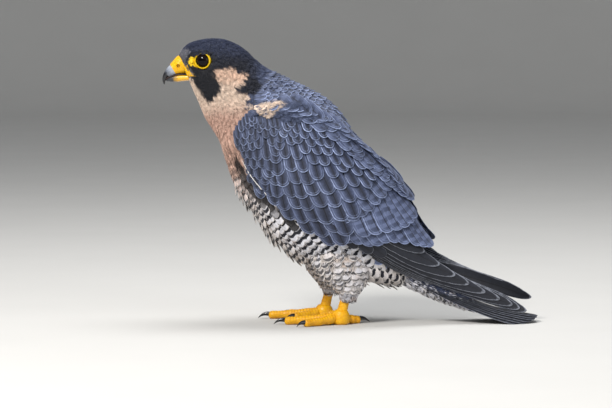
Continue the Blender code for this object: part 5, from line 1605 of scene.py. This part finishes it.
def make_legs():
    """Bare legs and feet, scaled, with a hooked claw on every toe."""
    scaly = skin_material("leg_skin", (0.84, 0.44, 0.0), (0.70, 0.29, 0.0), 420.0, 0.42)
    claw_horn = horn_material("claw_horn", (0.035, 0.035, 0.040), (0.006, 0.006, 0.008), 0.0, 0.3, 0.22)
    for name, side in SIDES.items():
        ahead = FAR_LEG_FORWARD if side == RIGHT else 0.0
        x, y = FOOT_CENTRE[0] - ahead, side * FOOT_CENTRE[1]
        top_x, top_z = THIGH_RINGS[5][0] - ahead, 0.0360
        rings, marks = [], []
        angle = 2 * np.pi * np.arange(28) / 28
        for t in np.linspace(0, 1, 64):
            size = TARSUS_RADIUS * np.interp(t, (0, 0.12, 0.5, 1), (1.45, 1.12, 0.95, 1.05))
            phase = (t * 9) % 1.0
            front = np.clip(np.cos(angle + math.pi), 0, 1) ** 0.5
            reach = size + 0.0003 * (1 - phase) * front
            centre = np.array([x + (top_x - x) * t, y, 0.0070 + (top_z - 0.0070) * t])
            ring = centre + np.stack([reach * np.cos(angle), reach * 0.92 * np.sin(angle), 0 * angle], -1)
            rings.append(ring)
            # Painted shade in the creases between the scutes on the shank's front.
            crease = crease_at(phase, 0.09)
            marks.append(np.stack([crease * 0.45 * front, 0 * front, 0 * front], -1))
        loft_piece("shank_" + name, rings, marks, slot="yellow_skin", material=scaly,
                   replaces=["tarsus_" + name])
        pad = [(0.0062, 0.0002), (0.0078, 0.0018), (0.0083, 0.0050), (0.0080, 0.0090), (0.0062, 0.0125),
               (0.0030, 0.0142)]
        loft_piece("foot_pad_" + name,
                   turned(spline(pad, np.linspace(0, 5, 22)), 36, Matrix.Translation((x, y, 0))),
                   slot="yellow_skin", material=scaly, replaces=["foot_" + name])
        for toe, heading, length, radius, claw_length in TOES:
            direction = np.array([-math.cos(heading), side * math.sin(heading), 0.0])
            rings, marks, end = toe_rings(np.array([x, y, 0.0]), direction, length, radius)
            loft_piece(f"toe_{toe}_{name}", rings, marks, slot="yellow_skin", material=scaly)
            loft_piece(f"talon_{toe}_{name}", claw_rings(end, direction, claw_length), slot="horn",
                       material=claw_horn, replaces=[f"claw_{toe}_{name}"])


def area_light(name, place, target, size, power, colour=(1, 1, 1)):
    light = bpy.data.lights.new(name, "AREA")
    light.shape, light.size, light.energy, light.color = "DISK", size, power, colour
    thing = bpy.data.objects.new(name, light)
    thing.location = place
    thing.rotation_euler = (Vector(target) - Vector(place)).to_track_quat("-Z", "Y").to_euler()
    bpy.context.scene.collection.objects.link(thing)


CAMERA_ELEVATION = math.radians(4)
CAMERA_DISTANCE = 3.128
LENS = 200.0
AIM = (-0.0203, 0.0, 0.1087)     # what lies at the photograph's middle, in the bird's own plane


def make_stage():
    """A plain pale floor that sweeps up behind, soft lights, and the camera."""
    g = Graph("studio_paper", Roughness=0.9, Specular_IOR_Level=0.1)
    g.colour(g.mix(g.noise(g.place(), 8.0), (0.56, 0.555, 0.54), (0.59, 0.585, 0.57)))
    g.bump(g.noise(g.place(), 600.0), 0.0002, 0.2)
    profile = [(0.0, 0.0), (1.0, 0.0), (3.0, 0.0), (4.4, 0.0)]
    profile += [(4.4 + 1.0 * math.sin(a), 1.0 - math.cos(a)) for a in np.linspace(0.1, math.pi / 2, 14)]
    profile += [(5.4, 2.6)]
    points, faces = [], []
    around, count = 72, len(profile)
    for i in range(around):
        angle = 2 * math.pi * i / around
        points += [(radius * math.cos(angle), radius * math.sin(angle), z) for radius, z in profile]
        base, after = i * count, (i + 1) % around * count
        faces += [(base + j, after + j, after + j + 1, base + j + 1) for j in range(count - 1)]
    mesh = bpy.data.meshes.new("studio_floor")
    mesh.from_pydata(points, [], faces)
    mesh.shade_smooth()
    mesh.materials.append(g.material)
    floor = bpy.data.objects.new("studio_floor", mesh)
    bpy.context.scene.collection.objects.link(floor)
    world = bpy.data.worlds.new("studio")
    world.use_nodes = True
    world.node_tree.nodes["Background"].inputs["Color"].default_value = (0.93, 0.96, 1.0, 1)
    world.node_tree.nodes["Background"].inputs["Strength"].default_value = 0.38
    bpy.context.scene.world = world
    middle = (0, 0, 0.13)
    area_light("key", (-1.0, -1.5, 1.6), middle, 0.7, 58, (1.0, 0.97, 0.93))
    area_light("fill", (1.4, -1.3, 0.7), middle, 1.2, 9, (0.93, 0.96, 1.0))
    area_light("top", (0.2, 0.3, 1.9), middle, 1.0, 22)
    camera = bpy.data.cameras.new("photo_view")
    camera.lens, camera.sensor_width = LENS, 36.0
    camera.clip_start, camera.clip_end = 0.1, 50
    view = bpy.data.objects.new("photo_view", camera)
    aim = Vector(AIM) + Vector(shift)
    away = Vector((0, -math.cos(CAMERA_ELEVATION), math.sin(CAMERA_ELEVATION)))
    view.location = aim + away * CAMERA_DISTANCE
    view.rotation_euler = (aim - view.location).to_track_quat("-Z", "Y").to_euler()
    bpy.context.scene.collection.objects.link(view)
    bpy.context.scene.camera = view


def main():
    """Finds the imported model's place, then makes the stage and every piece."""
    low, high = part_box("eye_left")
    shift[:] = (np.array(low) + np.array(high)) / 2 - np.array([EYE[0], -EYE[1], EYE[2]])
    shift[1] = 0.0
    coat = coat_material("small_feathers")
    slate = vane_material("slate_vanes", (0.38, 0.46, 0.72), (0.125, 0.155, 0.270), (0.016, 0.020, 0.038),
                          rim=(0.30, 1.10), second=0.30)
    dark = vane_material("dark_vanes", (0.30, 0.32, 0.38), (0.045, 0.052, 0.075), (0.011, 0.012, 0.017),
                         rim=(0.15, 0.60))
    soft = vane_material("soft_barred_vanes", (0.76, 0.72, 0.69), (0.012, 0.013, 0.020), (0.46, 0.46, 0.50),
                         bar=(0.26, 0.34), bend=0.22, scattered=0.25, shaft_weight=0.12, rim=(0.3, 1.2),
                         softness=0.25)
    bare = skin_material("eye_ring_skin", (0.90, 0.62, 0.0), (0.80, 0.44, 0.0), 1600.0, 0.45)
    cere_skin = skin_material("cere_wax", (0.90, 0.52, 0.0), (0.80, 0.34, 0.0), 1100.0, 0.35)
    make_stage()
    bpy.context.scene.view_settings.view_transform = "Standard"
    tree = make_skin(coat)
    make_eyes(tree, bare)
    make_bill(tree, cere_skin)
    make_legs()
    for name, side in SIDES.items():
        make_wing(name, side, slate, dark, coat)
    make_tail(dark, coat)
    make_mantle(slate)
    make_coat(coat)
    make_trousers(coat)
    make_barred_feathers(soft)


main()
